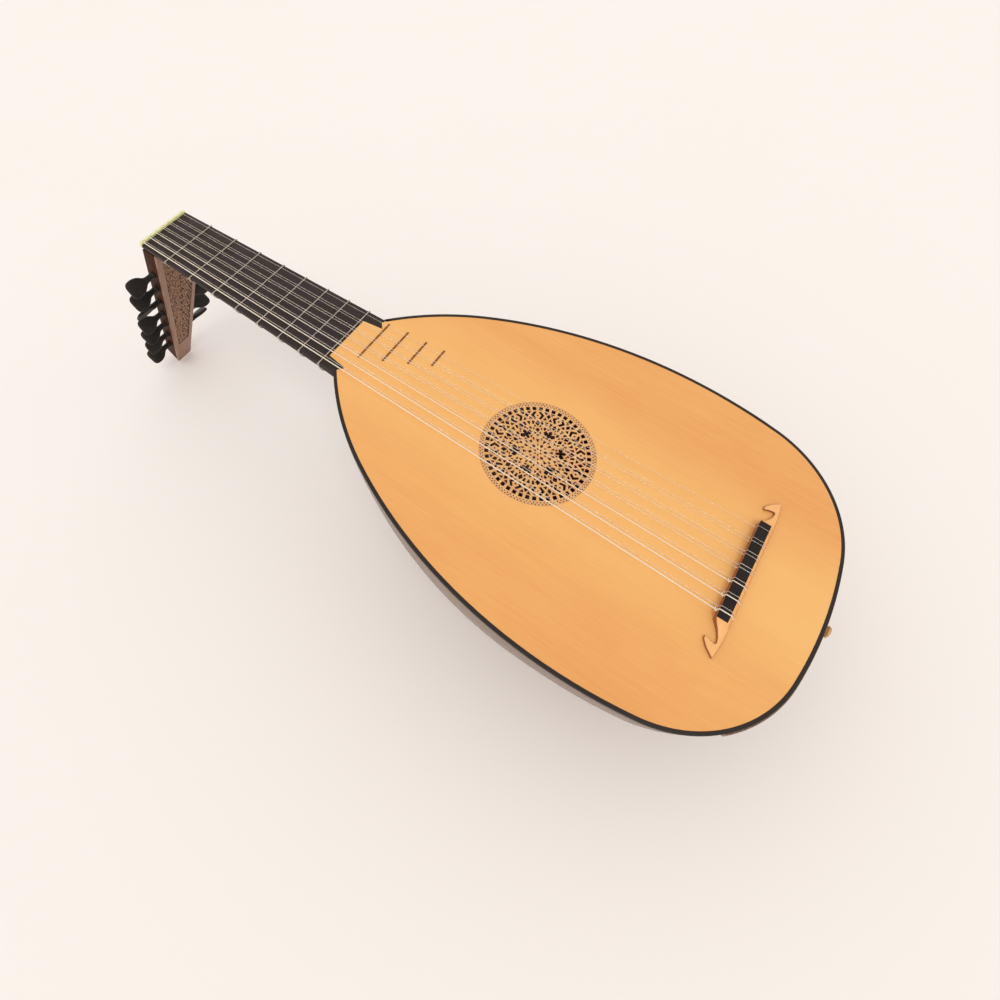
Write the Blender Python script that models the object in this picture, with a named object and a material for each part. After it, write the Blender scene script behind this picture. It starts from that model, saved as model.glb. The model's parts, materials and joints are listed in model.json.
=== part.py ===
"""A seven-course renaissance lute, in metres, lying on its back with +Z up."""

import math

import bmesh
import bpy
from mathutils import Matrix, Vector
from mathutils.geometry import delaunay_2d_cdt

# Driving dimensions, in metres and degrees
GAP = 0.0003                     # between pieces that touch
STRING_LENGTH = 0.5935           # from X = 0, where the frets are spaced from, to the bridge
FRET_RULE_LENGTH = 0.600         # length that the spacing of the tied frets is worked out from
BOARD_THICKNESS = 0.0022         # soundboard and fingerboard, which lie level
REBATE_DEPTH = 0.0011            # step in the soundboard for its edging and its rose

# Half outline of the body: four arcs, each running on from the last, from the tail to the neck
BODY_END_X = 0.6652
TAIL_ARC_RADIUS = 0.3398
TAIL_ARC_END = 9.2
FLANK_ARC_RADIUS = 0.1024
FLANK_ARC_END = 80.3
SHOULDER_ARC_RADIUS = 0.4122
SHOULDER_ARC_END = 118.7
THROAT_ARC_RADIUS = 0.2507
EDGING_WIDTH = 0.0026
EDGING_OVERHANG = 0.0003
EDGING_RISE = 0.0002             # above the soundboard

BOWL_DEPTH = 0.142
RIB_COUNT = 9
RIB_THICKNESS = 0.0018
RIB_TAIL_RADIUS = 0.012          # round the end button the ribs stop at this radius
NECK_BLOCK_LENGTH = 0.045
TAIL_BLOCK_RADIUS = 0.042
TAIL_BLOCK_THICKNESS = 0.013
TAIL_BLOCK_TIP_RADIUS = 0.002
NECK_BAR_DISTANCE = 0.0065       # first bar, from the neck block
ROSE_BAR_DISTANCES = (-0.086, 0.069, 0.109, 0.147)   # other bars, from the rose's centre
BAR_WIDTH = 0.004
BAR_HEIGHT = 0.012
BAR_END_HEIGHT = 0.004
BAR_SLOPE_LENGTH = 0.028         # cut away at each end
BAR_END_CLEARANCE = 0.006        # from the ribs
GLUE_DEPTH = 0.0004              # how far a glued bar or fret is sunk into the board

CLASP_THICKNESS = 0.0010
CLASP_GAP = 0.0005
CLASP_HEIGHT = 0.026
CLASP_END_HEIGHT = 0.007
CLASP_END_ANGLE = 46.0
BUTTON_DROP = 0.0068             # axis below the soundboard's underside
BUTTON_STEM_RADIUS = 0.0024
BUTTON_STEM_LENGTH = 0.013
BUTTON_RADIUS = 0.0052
BUTTON_LENGTH = 0.0058

NECK_HALF_WIDTH_NUT = 0.0285
NECK_HALF_WIDTH_BODY = 0.0362
NECK_DEPTH_NUT = 0.0165          # below the fingerboard
NECK_DEPTH_BODY = 0.0285
NECK_TONGUE = 0.0035             # part of the neck that runs over the pegbox
TONGUE_CORNER = (0.2245, 0.0241) # soundboard tongue between the fingerboard's points
POINT_TIP = (0.2434, 0.0268)

NUT_FRONT_X = 0.0026             # its face towards the bridge
NUT_THICKNESS = 0.0044
NUT_HEIGHT = 0.0023
NUT_SLOT_HEIGHT = 0.0012
NUT_SLOT_WIDTH = 0.0007          # wider than its string by this much in all
NUT_EASE = 0.0008                # slope at the two upper corners
NUT_ROUNDING = 0.0002            # of the edge that the strings bend over

BRIDGE_HALF_LENGTH = 0.0452
BRIDGE_TOP_WIDTH = 0.0085
BRIDGE_HEEL = 0.0040             # how far the base runs out behind
BRIDGE_BASE_HEIGHT = 0.0070
BRIDGE_CAP_THICKNESS = 0.0013
BRIDGE_TIP_HEIGHT = 0.0026
BRIDGE_HOLE_HEIGHT = 0.0048
BRIDGE_HOLE_RADIUS = 0.00095
BRIDGE_TIP_SHAPE = (             # scroll at each end: back from the front edge, outwards
    (0.0020, 0.0025), (0.0050, 0.0062), (0.0076, 0.0112), (0.0086, 0.0152), (0.0076, 0.0168),
    (0.0038, 0.0160), (-0.0006, 0.0142), (-0.0004, 0.0176), (0.0036, 0.0224), (0.0100, 0.0274),
    (0.0113, 0.0192), (0.0121, 0.0100))

ROSE_CENTRE_X = 0.4210
ROSE_RADIUS = 0.0482
ROSE_LEDGE = 0.0030
ROSE_RIM = 0.0034                # plain ring at the edge
ROSE_BORDER = 0.0048             # row of square holes inside the rim
ROSE_BORDER_HOLES = 42
ROSE_BORDER_BAR = 0.0026         # between two square holes
ROSE_BORDER_RING = 0.0012        # inside the square holes
ROSE_BAND = 0.0016               # width of the knot's bands
ROSE_LAP = 0.0004                # how far a band runs on under its neighbour
ROSE_CHEVRON_FOOT = 0.0257       # radii that the small chevrons reach between
ROSE_CHEVRON_TIP = 0.0356
ROSE_CHEVRON_SPREAD = 12.0
ROSE_HUB_RADIUS = 0.0112

PEGBOX_ORIGIN = (-0.0011, -0.0055)   # X and Z of the front edge's upper end
PEGBOX_BEND = 70.8               # from the line of the neck
PEGBOX_LENGTH = 0.2508           # along its front
PEGBOX_SLANT = 0.0119            # how much further its back reaches
PEGBOX_DEPTH = 0.0182
PEGBOX_HALF_WIDTH_TOP = 0.0286
PEGBOX_HALF_WIDTH_END = 0.0114
CHEEK_THICKNESS = 0.0045
PEGBOX_BACK_THICKNESS = 0.0033
PEGBOX_END_THICKNESS = 0.0070

PEG_COUNT = 13
FIRST_PEG = 0.0383               # axis, down from the pegbox's upper end
LAST_PEG_RISE = 0.0349           # axis, up from the pegbox's lower end
PEG_AXIS_DEPTH = 0.0088
PEG_RADIUS = 0.0037              # where it enters the head's cheek
PEG_TAPER = 1.0 / 28.0
PEG_HOLE_CLEARANCE = 0.00042
PEG_SHANK = 0.0115               # from the cheek to the head
PEG_COLLAR_LENGTH = 0.0035
PEG_HEAD_LENGTH = 0.0202
PEG_HEAD_HALF_WIDTH = 0.0102
PEG_HEAD_HALF_THICKNESS = 0.0030
PEG_HEAD_PROFILE = (             # shares of its length, half width and half thickness
    (0.12, 0.46, 0.92), (0.30, 0.76, 0.86), (0.54, 0.96, 0.80), (0.80, 1.00, 0.74),
    (0.94, 0.88, 0.64), (1.00, 0.58, 0.42))
PEG_TURNS = (125, 20, 132, -35, 60, 15, 125, 75, 140, 35, 115, -35, 145)

COURSE_COUNT = 7
NUT_STRING_SPREAD = 0.0490       # first course to last, at the nut
NUT_PAIR_SPACING = 0.0021
BRIDGE_STRING_SPREAD = 0.0772
BRIDGE_PAIR_SPACING = 0.0032
BRIDGE_STRING_SHIFT = 0.0008     # towards the treble side
STRING_CLEARANCE = 0.0004        # from the bridge
STRING_DIAMETERS = (0.00044, 0.00052, 0.00052, 0.00062, 0.00062, 0.00072, 0.00072,
                    0.00060, 0.00088, 0.00066, 0.00104, 0.00072, 0.00118)
WOUND_STRINGS = (8, 10, 12)      # counted from 0
WINDING_TURNS = 1.5
WINDING_POINTS_PER_TURN = 12
WINDING_CLEARANCE = 0.00045
WINDING_SPACE = 0.0006           # between neighbouring turns
WINDING_MARGIN = 0.0022          # from the last turn to the cheek

FRET_COUNT = 8
FRET_RADIUS = 0.00045
FRET_CLEARANCE = 0.0006          # from the neck, which widens where the fret slides
FRET_KNOT_RADIUS = 0.0010
BODY_FRET_WIDTH = 0.0019
BODY_FRET_TOP_WIDTH = 0.0012
BODY_FRET_HEIGHT = 0.0007
BODY_FRETS = ((0.2456, -0.0112, 0.0352), (0.2647, -0.0018, 0.0377),
              (0.2842, 0.0089, 0.0384), (0.3023, 0.0194, 0.0401))


# Values worked out from the driving dimensions
NECK_TOP = -(BOARD_THICKNESS + GAP)
ARC_RADII = (TAIL_ARC_RADIUS, FLANK_ARC_RADIUS, SHOULDER_ARC_RADIUS, THROAT_ARC_RADIUS)
ARC_ENDS = tuple(math.radians(a) for a in (TAIL_ARC_END, FLANK_ARC_END, SHOULDER_ARC_END))
BEND = math.radians(PEGBOX_BEND)
PEGBOX_DOWN = Vector((-math.cos(BEND), 0.0, -math.sin(BEND)))
PEGBOX_IN = Vector((math.sin(BEND), 0.0, -math.cos(BEND)))
PEGBOX_TOP_Z = NECK_TOP - NECK_TONGUE - GAP
PEG_PITCH = (PEGBOX_LENGTH - LAST_PEG_RISE - FIRST_PEG) / (PEG_COUNT - 1)
SEAM_ANGLES = [math.pi * j / RIB_COUNT for j in range(RIB_COUNT + 1)]
STATION_COUNTS = (1, 8, 5, 3)    # stations along the four arcs of the outline
CUTTER_REACH = 0.1               # far enough to pass right through any piece
ALL_CELLS = 0                    # kinds of result that the planar triangulation gives
COVERED_CELLS = 1


# Helpers for meshes and materials
def clear_scene():
    for old in list(bpy.data.objects):
        bpy.data.objects.remove(old, do_unlink=True)


def make_material(name, colour, roughness, metallic=0.0):
    material = bpy.data.materials.new(name)
    material.use_nodes = True
    shader = material.node_tree.nodes["Principled BSDF"]
    shader.inputs["Base Color"].default_value = (*colour, 1.0)
    shader.inputs["Roughness"].default_value = roughness
    shader.inputs["Metallic"].default_value = metallic
    material.diffuse_color = (*colour, 1.0)
    return material


def add_object(name, data, material, parent, location=(0, 0, 0), rotation=(0, 0, 0)):
    piece = bpy.data.objects.new(name, data)
    bpy.context.scene.collection.objects.link(piece)
    piece.parent = parent
    piece.location = location
    piece.rotation_euler = rotation
    if not piece.data.materials:
        piece.data.materials.append(material)
    return piece


def finish_mesh(bm, name, smooth_angle=None):
    bmesh.ops.remove_doubles(bm, verts=bm.verts, dist=1e-6)
    bmesh.ops.recalc_face_normals(bm, faces=bm.faces)
    mesh = bpy.data.meshes.new(name)
    bm.to_mesh(mesh)
    bm.free()
    if smooth_angle is not None:
        mesh.shade_smooth()
        mesh.set_sharp_from_angle(angle=math.radians(smooth_angle))
    return mesh


def loft(sections):
    """A closed solid through rings of points, with a flat face at each end."""
    bm = bmesh.new()
    rings = [[bm.verts.new(p) for p in ring] for ring in sections]
    for first, second in zip(rings, rings[1:]):
        for i in range(len(first)):
            j = (i + 1) % len(first)
            bm.faces.new((first[i], first[j], second[j], second[i]))
    bm.faces.new(rings[0])
    bm.faces.new(list(reversed(rings[-1])))
    return bm


def prism(outline, low, high, along="z"):
    """An outline of two coordinates, pushed from low to high along the third axis."""
    places = {"z": lambda a, b, c: (a, b, c), "y": lambda a, b, c: (a, c, b),
              "x": lambda a, b, c: (c, a, b)}
    place = places[along]
    return loft([[place(a, b, low) for a, b in outline], [place(a, b, high) for a, b in outline]])


def join_by_boolean(piece, others, operation):
    """Apply boolean steps to a piece, and take the other shapes away."""
    for other in others:
        step = piece.modifiers.new(operation.lower(), "BOOLEAN")
        step.object = other
        step.operation = operation
        step.solver = "EXACT"
    bpy.context.view_layer.update()
    evaluated = piece.evaluated_get(bpy.context.evaluated_depsgraph_get())
    result = bpy.data.meshes.new_from_object(evaluated)
    piece.modifiers.clear()
    piece.data = result
    for other in others:
        bpy.data.objects.remove(other, do_unlink=True)
    return piece


def scratch_solid(bm):
    """A shape that only serves a boolean step."""
    piece = bpy.data.objects.new("tool", finish_mesh(bm, "tool"))
    bpy.context.scene.collection.objects.link(piece)
    piece.hide_render = True
    piece.display_type = "WIRE"
    return piece


def rod(centre, direction, radius, half_length, sides):
    """A round bar through a point."""
    bm = bmesh.new()
    bmesh.ops.create_cone(bm, cap_ends=True, segments=sides, radius1=radius, radius2=radius,
                          depth=2.0 * half_length)
    turn = Vector((0, 0, 1)).rotation_difference(Vector(direction)).to_matrix().to_4x4()
    bmesh.ops.transform(bm, matrix=Matrix.Translation(centre) @ turn, verts=bm.verts)
    return bm


def is_inside(point, loop):
    """Whether a point of the plane lies inside a loop."""
    inside = False
    for a, b in zip(loop, loop[1:] + loop[:1]):
        if (a[1] > point[1]) != (b[1] > point[1]):
            if point[0] < a[0] + (b[0] - a[0]) * (point[1] - a[1]) / (b[1] - a[1]):
                inside = not inside
    return inside


def fill_plate(bm, loops, z):
    """Triangles between an outer loop and the holes inside it, on one level."""
    points = []
    edges = []
    for loop in loops:
        start = len(points)
        points += [Vector(p) for p in loop]
        edges += [(start + i, start + (i + 1) % len(loop)) for i in range(len(loop))]
    found, _, faces, _, _, _ = delaunay_2d_cdt(points, edges, [], ALL_CELLS, 1e-7)
    verts = [bm.verts.new((p.x, p.y, z)) for p in found]
    for face in faces:
        middle = sum((found[i] for i in face), Vector((0.0, 0.0))) / 3.0
        if sum(is_inside(middle, loop) for loop in loops) == 1:
            bm.faces.new([verts[i] for i in face])


def wall(bm, loop, low, high, closed=True):
    """An upright band along a loop of points."""
    count = len(loop) if closed else len(loop) - 1
    for i in range(count):
        a = loop[i]
        b = loop[(i + 1) % len(loop)]
        corners = ((*a, low), (*b, low), (*b, high), (*a, high))
        bm.faces.new([bm.verts.new(c) for c in corners])


def flat_band(bm, first, second, z, closed=False):
    """A level band of quads between two rows with as many points each."""
    count = len(first) if closed else len(first) - 1
    for i in range(count):
        j = (i + 1) % len(first)
        corners = ((*first[i], z), (*first[j], z), (*second[j], z), (*second[i], z))
        bm.faces.new([bm.verts.new(c) for c in corners])


def tube(name, points, radius, material, parent, closed=False, location=(0, 0, 0), swell=None):
    """A round cord through the points; swell gives a factor on the radius for some of them."""
    curve = bpy.data.curves.new(name, "CURVE")
    curve.dimensions = "3D"
    curve.bevel_depth = radius
    curve.bevel_resolution = 1
    curve.use_fill_caps = True
    spline = curve.splines.new("POLY")
    spline.points.add(len(points) - 1)
    for i, point in enumerate(points):
        spline.points[i].co = (*point, 1.0)
        spline.points[i].radius = swell.get(i, 1.0) if swell else 1.0
    spline.use_cyclic_u = closed
    return add_object(name, curve, material, parent, location)


# The outline and the bowl
def arc_centres():
    """Centre of each arc of the half outline, as (x, half width)."""
    centres = [Vector((BODY_END_X - TAIL_ARC_RADIUS, 0.0))]
    for end, before, after in zip(ARC_ENDS, ARC_RADII, ARC_RADII[1:]):
        step = Vector((math.cos(end), math.sin(end))) * (before - after)
        centres.append(centres[-1] + step)
    return centres


CENTRES = arc_centres()
NECK_JOINT_ANGLE = math.pi - math.asin((NECK_HALF_WIDTH_BODY - CENTRES[3].y) / THROAT_ARC_RADIUS)
NECK_JOINT_X = CENTRES[3].x + THROAT_ARC_RADIUS * math.cos(NECK_JOINT_ANGLE)


def outline_point(angle, offset=0.0):
    """Point of the half outline whose outward direction has this angle from the axis."""
    index = sum(1 for end in ARC_ENDS if angle > end)
    reach = ARC_RADII[index] + offset
    return CENTRES[index] + Vector((math.cos(angle), math.sin(angle))) * reach


def throat_angle(x, offset):
    """Outline angle at which the offset outline crosses the line at x, near the neck."""
    return math.acos((x - CENTRES[3].x) / (THROAT_ARC_RADIUS + offset))


def station_angles(start, x_end, offset):
    """Angles of the stations from the tail to the line at x_end."""
    last = throat_angle(x_end, offset)
    stops = [start, ARC_ENDS[0], ARC_ENDS[1], ARC_ENDS[2], last]
    angles = [start]
    for low, high, count in zip(stops, stops[1:], STATION_COUNTS):
        angles += [low + (high - low) * (k + 1) / count for k in range(count)]
    return angles


def widest_half_width():
    return outline_point(math.pi / 2).y


def depth_ratio(x):
    """Depth of the bowl over its half width, flatter towards the neck."""
    full = BOWL_DEPTH / widest_half_width()
    throat = NECK_DEPTH_BODY / NECK_HALF_WIDTH_BODY
    widest_x = outline_point(math.pi / 2).x
    share = max(0.0, (widest_x - x) / (widest_x - NECK_JOINT_X))
    return full + (throat - full) * share ** 3


def bowl_point(flat_point, seam_angle, slide=0.0):
    """A point of the outline swung down round the bowl; slide moves it along the curve."""
    x, half = flat_point
    turn = seam_angle + slide / max(half, 1e-4)
    return Vector((x, half * math.cos(turn), NECK_TOP - half * depth_ratio(x) * math.sin(turn)))


def end_station(x, offset):
    """Where the offset outline meets the line at x."""
    return outline_point(throat_angle(x, offset), offset)


def make_rib(index, material, parent):
    """One bent rib, a strip of even wall that narrows to both ends."""
    start = math.asin(RIB_TAIL_RADIUS / TAIL_ARC_RADIUS)
    near = NECK_JOINT_X + GAP / 2.0
    low, high = SEAM_ANGLES[index], SEAM_ANGLES[index + 1]
    sections = []
    angles = station_angles(start, near, 0.0)
    for k, angle in enumerate(angles):
        outer = outline_point(angle)
        inner = outline_point(angle, -RIB_THICKNESS)
        if k == len(angles) - 1:
            inner = end_station(near, -RIB_THICKNESS)
        sections.append([bowl_point(outer, low, GAP / 2.0), bowl_point(outer, high, -GAP / 2.0),
                         bowl_point(inner, high, -GAP / 2.0), bowl_point(inner, low, GAP / 2.0)])
    mesh = finish_mesh(loft(sections), "rib")
    return add_object("rib_%d" % (index + 1), mesh, material, parent)


def bowl_sections(flat_points):
    """Rings that follow the inside of the ribs, closed by the level of the soundboard."""
    return [[bowl_point(p, seam) for seam in SEAM_ANGLES] for p in flat_points]


def make_neck_block(material, parent):
    inset = -(RIB_THICKNESS + 2.0 * GAP)
    first_x = NECK_JOINT_X + GAP / 2.0
    last_x = first_x + NECK_BLOCK_LENGTH
    flats = [end_station(first_x + (last_x - first_x) * k / 3.0, inset) for k in range(4)]
    mesh = finish_mesh(loft(bowl_sections(flats)), "neck_block")
    return add_object("neck_block", mesh, material, parent)


def button_z():
    return NECK_TOP - BUTTON_DROP


def tail_block_radii():
    return (TAIL_BLOCK_TIP_RADIUS, TAIL_BLOCK_RADIUS / 2.0, TAIL_BLOCK_RADIUS)


def make_tail_block(material, parent):
    """Half-round block behind the ends of the ribs, drilled for the end button."""
    inset = -(RIB_THICKNESS + 2.0 * GAP)
    reach = TAIL_ARC_RADIUS + inset
    flats = [outline_point(math.asin(r / reach), inset) for r in tail_block_radii()]
    back_x = flats[-1].x - TAIL_BLOCK_THICKNESS
    flats.append(Vector((back_x, TAIL_BLOCK_RADIUS)))
    mesh = finish_mesh(loft(bowl_sections(flats)), "tail_block")
    block = add_object("tail_block", mesh, material, parent)
    bore_end = button_seat_x() - BUTTON_STEM_LENGTH - GAP
    bore = rod((bore_end + BUTTON_STEM_LENGTH, 0, button_z()), (1, 0, 0),
               BUTTON_STEM_RADIUS + GAP, BUTTON_STEM_LENGTH, 12)
    return join_by_boolean(block, [scratch_solid(bore)], "DIFFERENCE")


def clasp_reach():
    return CLASP_GAP + CLASP_THICKNESS


def tail_surface_x(y, z, offset):
    """X of the offset bowl surface at the tail, above a point of the cross plane."""
    ratio = depth_ratio(BODY_END_X)
    half = math.hypot(y, (NECK_TOP - z) / ratio)
    tail_edge = outline_point(ARC_ENDS[0], offset)
    if half <= tail_edge.y:
        return CENTRES[0].x + math.sqrt((ARC_RADII[0] + offset) ** 2 - half ** 2)
    reach = ARC_RADII[1] + offset
    return CENTRES[1].x + math.sqrt(reach ** 2 - (half - CENTRES[1].y) ** 2)


def button_seat_x():
    return tail_surface_x(0.0, button_z(), clasp_reach()) + GAP


def clasp_columns():
    """Half widths of the clasp's columns, at the same stations as the ribs."""
    steps = STATION_COUNTS[1]
    low = ARC_ENDS[0]
    high = ARC_ENDS[1]
    span = [low + (high - low) * k / steps for k in range(steps + 1)]
    flank = [outline_point(a).y for a in span if a <= math.radians(CLASP_END_ANGLE)]
    half = [outline_point(ARC_ENDS[0] / 2.0).y] + flank
    return [-y for y in reversed(half)] + [0.0] + half


def make_end_clasp(material, parent):
    """Bent strip over the ends of the ribs, deepest at the middle."""
    columns = clasp_columns()
    widest = columns[-1]
    top = NECK_TOP
    sections = []
    for y in columns:
        share = math.cos(math.pi / 2.0 * y / widest) ** 2
        height = CLASP_END_HEIGHT + (CLASP_HEIGHT - CLASP_END_HEIGHT) * share
        levels = [top, top - height / 2.0, top - height]
        outer = [Vector((tail_surface_x(y, z, clasp_reach()), y, z)) for z in levels]
        inner = [Vector((tail_surface_x(y, z, CLASP_GAP), y, z)) for z in reversed(levels)]
        sections.append(outer + inner)
    clasp = add_object("end_clasp", finish_mesh(loft(sections), "end_clasp"), material, parent)
    bore = rod((BODY_END_X, 0, button_z()), (1, 0, 0), BUTTON_STEM_RADIUS + GAP,
               CUTTER_REACH / 4.0, 12)
    return join_by_boolean(clasp, [scratch_solid(bore)], "DIFFERENCE")


def make_end_button(material, parent):
    """Turned button, its stem in the tail block and its flat end outwards."""
    profile = ((-BUTTON_STEM_LENGTH, BUTTON_STEM_RADIUS), (0.0, BUTTON_STEM_RADIUS),
               (0.0, BUTTON_RADIUS * 0.8), (BUTTON_LENGTH * 0.3, BUTTON_RADIUS * 0.62),
               (BUTTON_LENGTH * 0.6, BUTTON_RADIUS), (BUTTON_LENGTH * 0.85, BUTTON_RADIUS),
               (BUTTON_LENGTH, BUTTON_RADIUS * 0.8))
    sides = 16
    seat = button_seat_x()
    rings = []
    for x, radius in profile:
        rings.append([Vector((seat + x, radius * math.cos(2 * math.pi * k / sides),
                              button_z() + radius * math.sin(2 * math.pi * k / sides)))
                      for k in range(sides)])
    mesh = finish_mesh(loft(rings), "end_button", 40)
    return add_object("end_button", mesh, material, parent)


# The soundboard and what lies on it
def board_row(offset):
    """Both halves of the outline, from the neck on the bass side to the neck on the other."""
    last_x = NECK_JOINT_X + GAP
    angles = station_angles(0.0, last_x, offset)
    half = [outline_point(a, offset) for a in angles[1:]]
    tail = outline_point(0.0, offset)
    bass = [(p.x, -p.y) for p in reversed(half)]
    return bass + [(tail.x, 0.0)] + [(p.x, p.y) for p in half]


def tongue_path():
    """Edge of the soundboard at the neck, round the fingerboard's points, treble to bass."""
    tip = (POINT_TIP[0] + GAP * 4.0, POINT_TIP[1])
    corner = (TONGUE_CORNER[0] + GAP, TONGUE_CORNER[1] - GAP)
    return [tip, corner, (corner[0], -corner[1]), (tip[0], -tip[1])]


def circle(radius, count, turn=0.0):
    steps = [2.0 * math.pi * k / count + turn for k in range(count)]
    return [(ROSE_CENTRE_X + radius * math.cos(a), radius * math.sin(a)) for a in steps]


def soundboard_plate():
    """The plate with a step along its edge and another round the rose's opening."""
    wide = board_row(0.0)
    narrow = board_row(-(EDGING_WIDTH + GAP))
    tongue = tongue_path()
    seat = circle(ROSE_RADIUS + GAP, 48)
    ledge = circle(ROSE_RADIUS - ROSE_LEDGE, 48)
    step = -REBATE_DEPTH
    bottom = -BOARD_THICKNESS
    bm = bmesh.new()
    ends = [narrow[-1]] + tongue + [narrow[0]]
    fill_plate(bm, [wide + ends, ledge], bottom)
    fill_plate(bm, [narrow + tongue, seat], 0.0)
    flat_band(bm, wide, narrow, step)
    flat_band(bm, seat, ledge, step, closed=True)
    wall(bm, wide, bottom, step, closed=False)
    wall(bm, narrow, step, 0.0, closed=False)
    wall(bm, [wide[-1], narrow[-1]], bottom, step, closed=False)
    wall(bm, [narrow[0], wide[0]], bottom, step, closed=False)
    for a, b in zip(ends, ends[1:]):
        wall(bm, [a, b], bottom, step, closed=False)
        wall(bm, [a, b], step, 0.0, closed=False)
    wall(bm, seat, step, 0.0)
    wall(bm, ledge, bottom, step)
    return finish_mesh(bm, "soundboard")


def half_width_at(x, offset):
    """Half width of the offset outline on the line at x."""
    for centre, radius, low, high in zip(CENTRES, ARC_RADII, (0.0, *ARC_ENDS),
                                         (*ARC_ENDS, math.pi)):
        share = (x - centre.x) / (radius + offset)
        if abs(share) <= 1.0 and low <= math.acos(share) <= high:
            return centre.y + (radius + offset) * math.sin(math.acos(share))
    return 0.0


def soundboard_bar(x):
    """A cross bar, cut away towards its ends, sunk a little into the board to join it."""
    reach = half_width_at(x, -RIB_THICKNESS) - BAR_END_CLEARANCE
    full = reach - BAR_SLOPE_LENGTH
    top = -BOARD_THICKNESS + GLUE_DEPTH
    low = -BOARD_THICKNESS - BAR_HEIGHT
    end = -BOARD_THICKNESS - BAR_END_HEIGHT
    outline = [(-reach, top), (-reach, end), (-full, low), (full, low), (reach, end),
               (reach, top)]
    return prism(outline, x - BAR_WIDTH / 2.0, x + BAR_WIDTH / 2.0, along="x")


def body_fret(x, low_y, high_y):
    """A wooden fret glued on the soundboard past the neck."""
    half = BODY_FRET_WIDTH / 2.0
    top = BODY_FRET_TOP_WIDTH / 2.0
    outline = [(x - half, -GLUE_DEPTH), (x + half, -GLUE_DEPTH), (x + top, BODY_FRET_HEIGHT),
               (x - top, BODY_FRET_HEIGHT)]
    return prism(outline, low_y, high_y, along="y")


def make_soundboard(material, parent):
    board = add_object("soundboard", soundboard_plate(), material, parent)
    stations = [NECK_JOINT_X + NECK_BLOCK_LENGTH + NECK_BAR_DISTANCE]
    stations += [ROSE_CENTRE_X + distance for distance in ROSE_BAR_DISTANCES]
    tools = [scratch_solid(soundboard_bar(x)) for x in stations]
    tools += [scratch_solid(body_fret(*fret)) for fret in BODY_FRETS]
    return join_by_boolean(board, tools, "UNION")


def make_edging(material, parent):
    """Black strip let into the step along the soundboard's edge."""
    outer = board_row(EDGING_OVERHANG)
    inner = board_row(-EDGING_WIDTH)
    low = -REBATE_DEPTH + GAP
    high = EDGING_RISE
    sections = [[(*a, low), (*a, high), (*b, high), (*b, low)] for a, b in zip(outer, inner)]
    return add_object("edging", finish_mesh(loft(sections), "edging"), material, parent)


def band_quads(points, width, closed=False):
    """A flat band of quads that follows a line of points."""
    quads = []
    count = len(points) if closed else len(points) - 1
    for i in range(count):
        a = Vector(points[i])
        b = Vector(points[(i + 1) % len(points)])
        side = (b - a).orthogonal().normalized() * width / 2.0
        quads.append([a - side, b - side, b + side, a + side])
    return quads


def ring_quads(inner, outer, count):
    inside = circle(inner, count)
    outside = circle(outer, count)
    return [[Vector(inside[i]), Vector(outside[i]), Vector(outside[(i + 1) % count]),
             Vector(inside[(i + 1) % count])] for i in range(count)]


def polar(radius, degrees):
    angle = math.radians(degrees)
    return (ROSE_CENTRE_X + radius * math.cos(angle), radius * math.sin(angle))


def rose_bands():
    """Six-fold knot: border squares, two star polygons, small lozenges and a hub star."""
    border_out = ROSE_RADIUS - ROSE_RIM
    border_in = border_out - ROSE_BORDER
    reach = border_in + ROSE_LAP
    quads = ring_quads(border_out, ROSE_RADIUS, 48)
    quads += ring_quads(border_in, border_in + ROSE_BORDER_RING, 48)
    for k in range(ROSE_BORDER_HOLES):
        angle = 360.0 * k / ROSE_BORDER_HOLES
        quads += band_quads([polar(reach, angle), polar(border_out + ROSE_LAP, angle)],
                            ROSE_BORDER_BAR)
    for k in range(6):
        turn = 60.0 * k
        quads += band_quads([polar(reach, turn), polar(reach, turn + 120.0)], ROSE_BAND)
        quads += band_quads([polar(reach, turn + 30.0), polar(reach, turn + 150.0)], ROSE_BAND)
        quads += band_quads([polar(reach, turn + 15.0), polar(reach, turn + 195.0)], ROSE_BAND)
        quads += band_quads([polar(ROSE_CHEVRON_FOOT, turn - ROSE_CHEVRON_SPREAD),
                             polar(ROSE_CHEVRON_TIP, turn),
                             polar(ROSE_CHEVRON_FOOT, turn + ROSE_CHEVRON_SPREAD)], ROSE_BAND)
    quads += ring_quads(ROSE_HUB_RADIUS, ROSE_HUB_RADIUS + ROSE_BAND, 24)
    return quads


def border_loops(cells):
    """Loops of point numbers round the outside and the holes of a patch of cells."""
    follow = {}
    sides = {(cell[i - 1], cell[i]) for cell in cells for i in range(len(cell))}
    for a, b in sides:
        if (b, a) not in sides:
            follow[a] = b
    loops = []
    while follow:
        start = min(follow)
        loop = [start]
        while follow[loop[-1]] != start:
            loop.append(follow.pop(loop[-1]))
        follow.pop(loop[-1])
        loops.append(loop)
    return loops


def straightened(loop):
    """The loop without the points that lie on a straight run."""
    kept = []
    for i, point in enumerate(loop):
        before = Vector(point) - Vector(loop[i - 1])
        after = Vector(loop[(i + 1) % len(loop)]) - Vector(point)
        if abs(before.angle_signed(after)) > math.radians(1.0):
            kept.append(point)
    return kept


def make_rose(material, parent):
    """Openwork rose: the union of its bands, found on the plane and then given thickness."""
    quads = rose_bands()
    points = []
    faces = []
    for quad in quads:
        faces.append(list(range(len(points), len(points) + 4)))
        points += quad
    found, _, cells, _, _, owners = delaunay_2d_cdt(points, [], faces, COVERED_CELLS, 1e-6)
    covered = [cell for cell, owner in zip(cells, owners) if owner]
    loops = [straightened([tuple(found[i]) for i in loop]) for loop in border_loops(covered)]
    low = -(REBATE_DEPTH - GAP)
    bm = bmesh.new()
    fill_plate(bm, loops, 0.0)
    fill_plate(bm, loops, low)
    for loop in loops:
        wall(bm, loop, low, 0.0)
    return add_object("rose", finish_mesh(bm, "rose"), material, parent)


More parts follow.
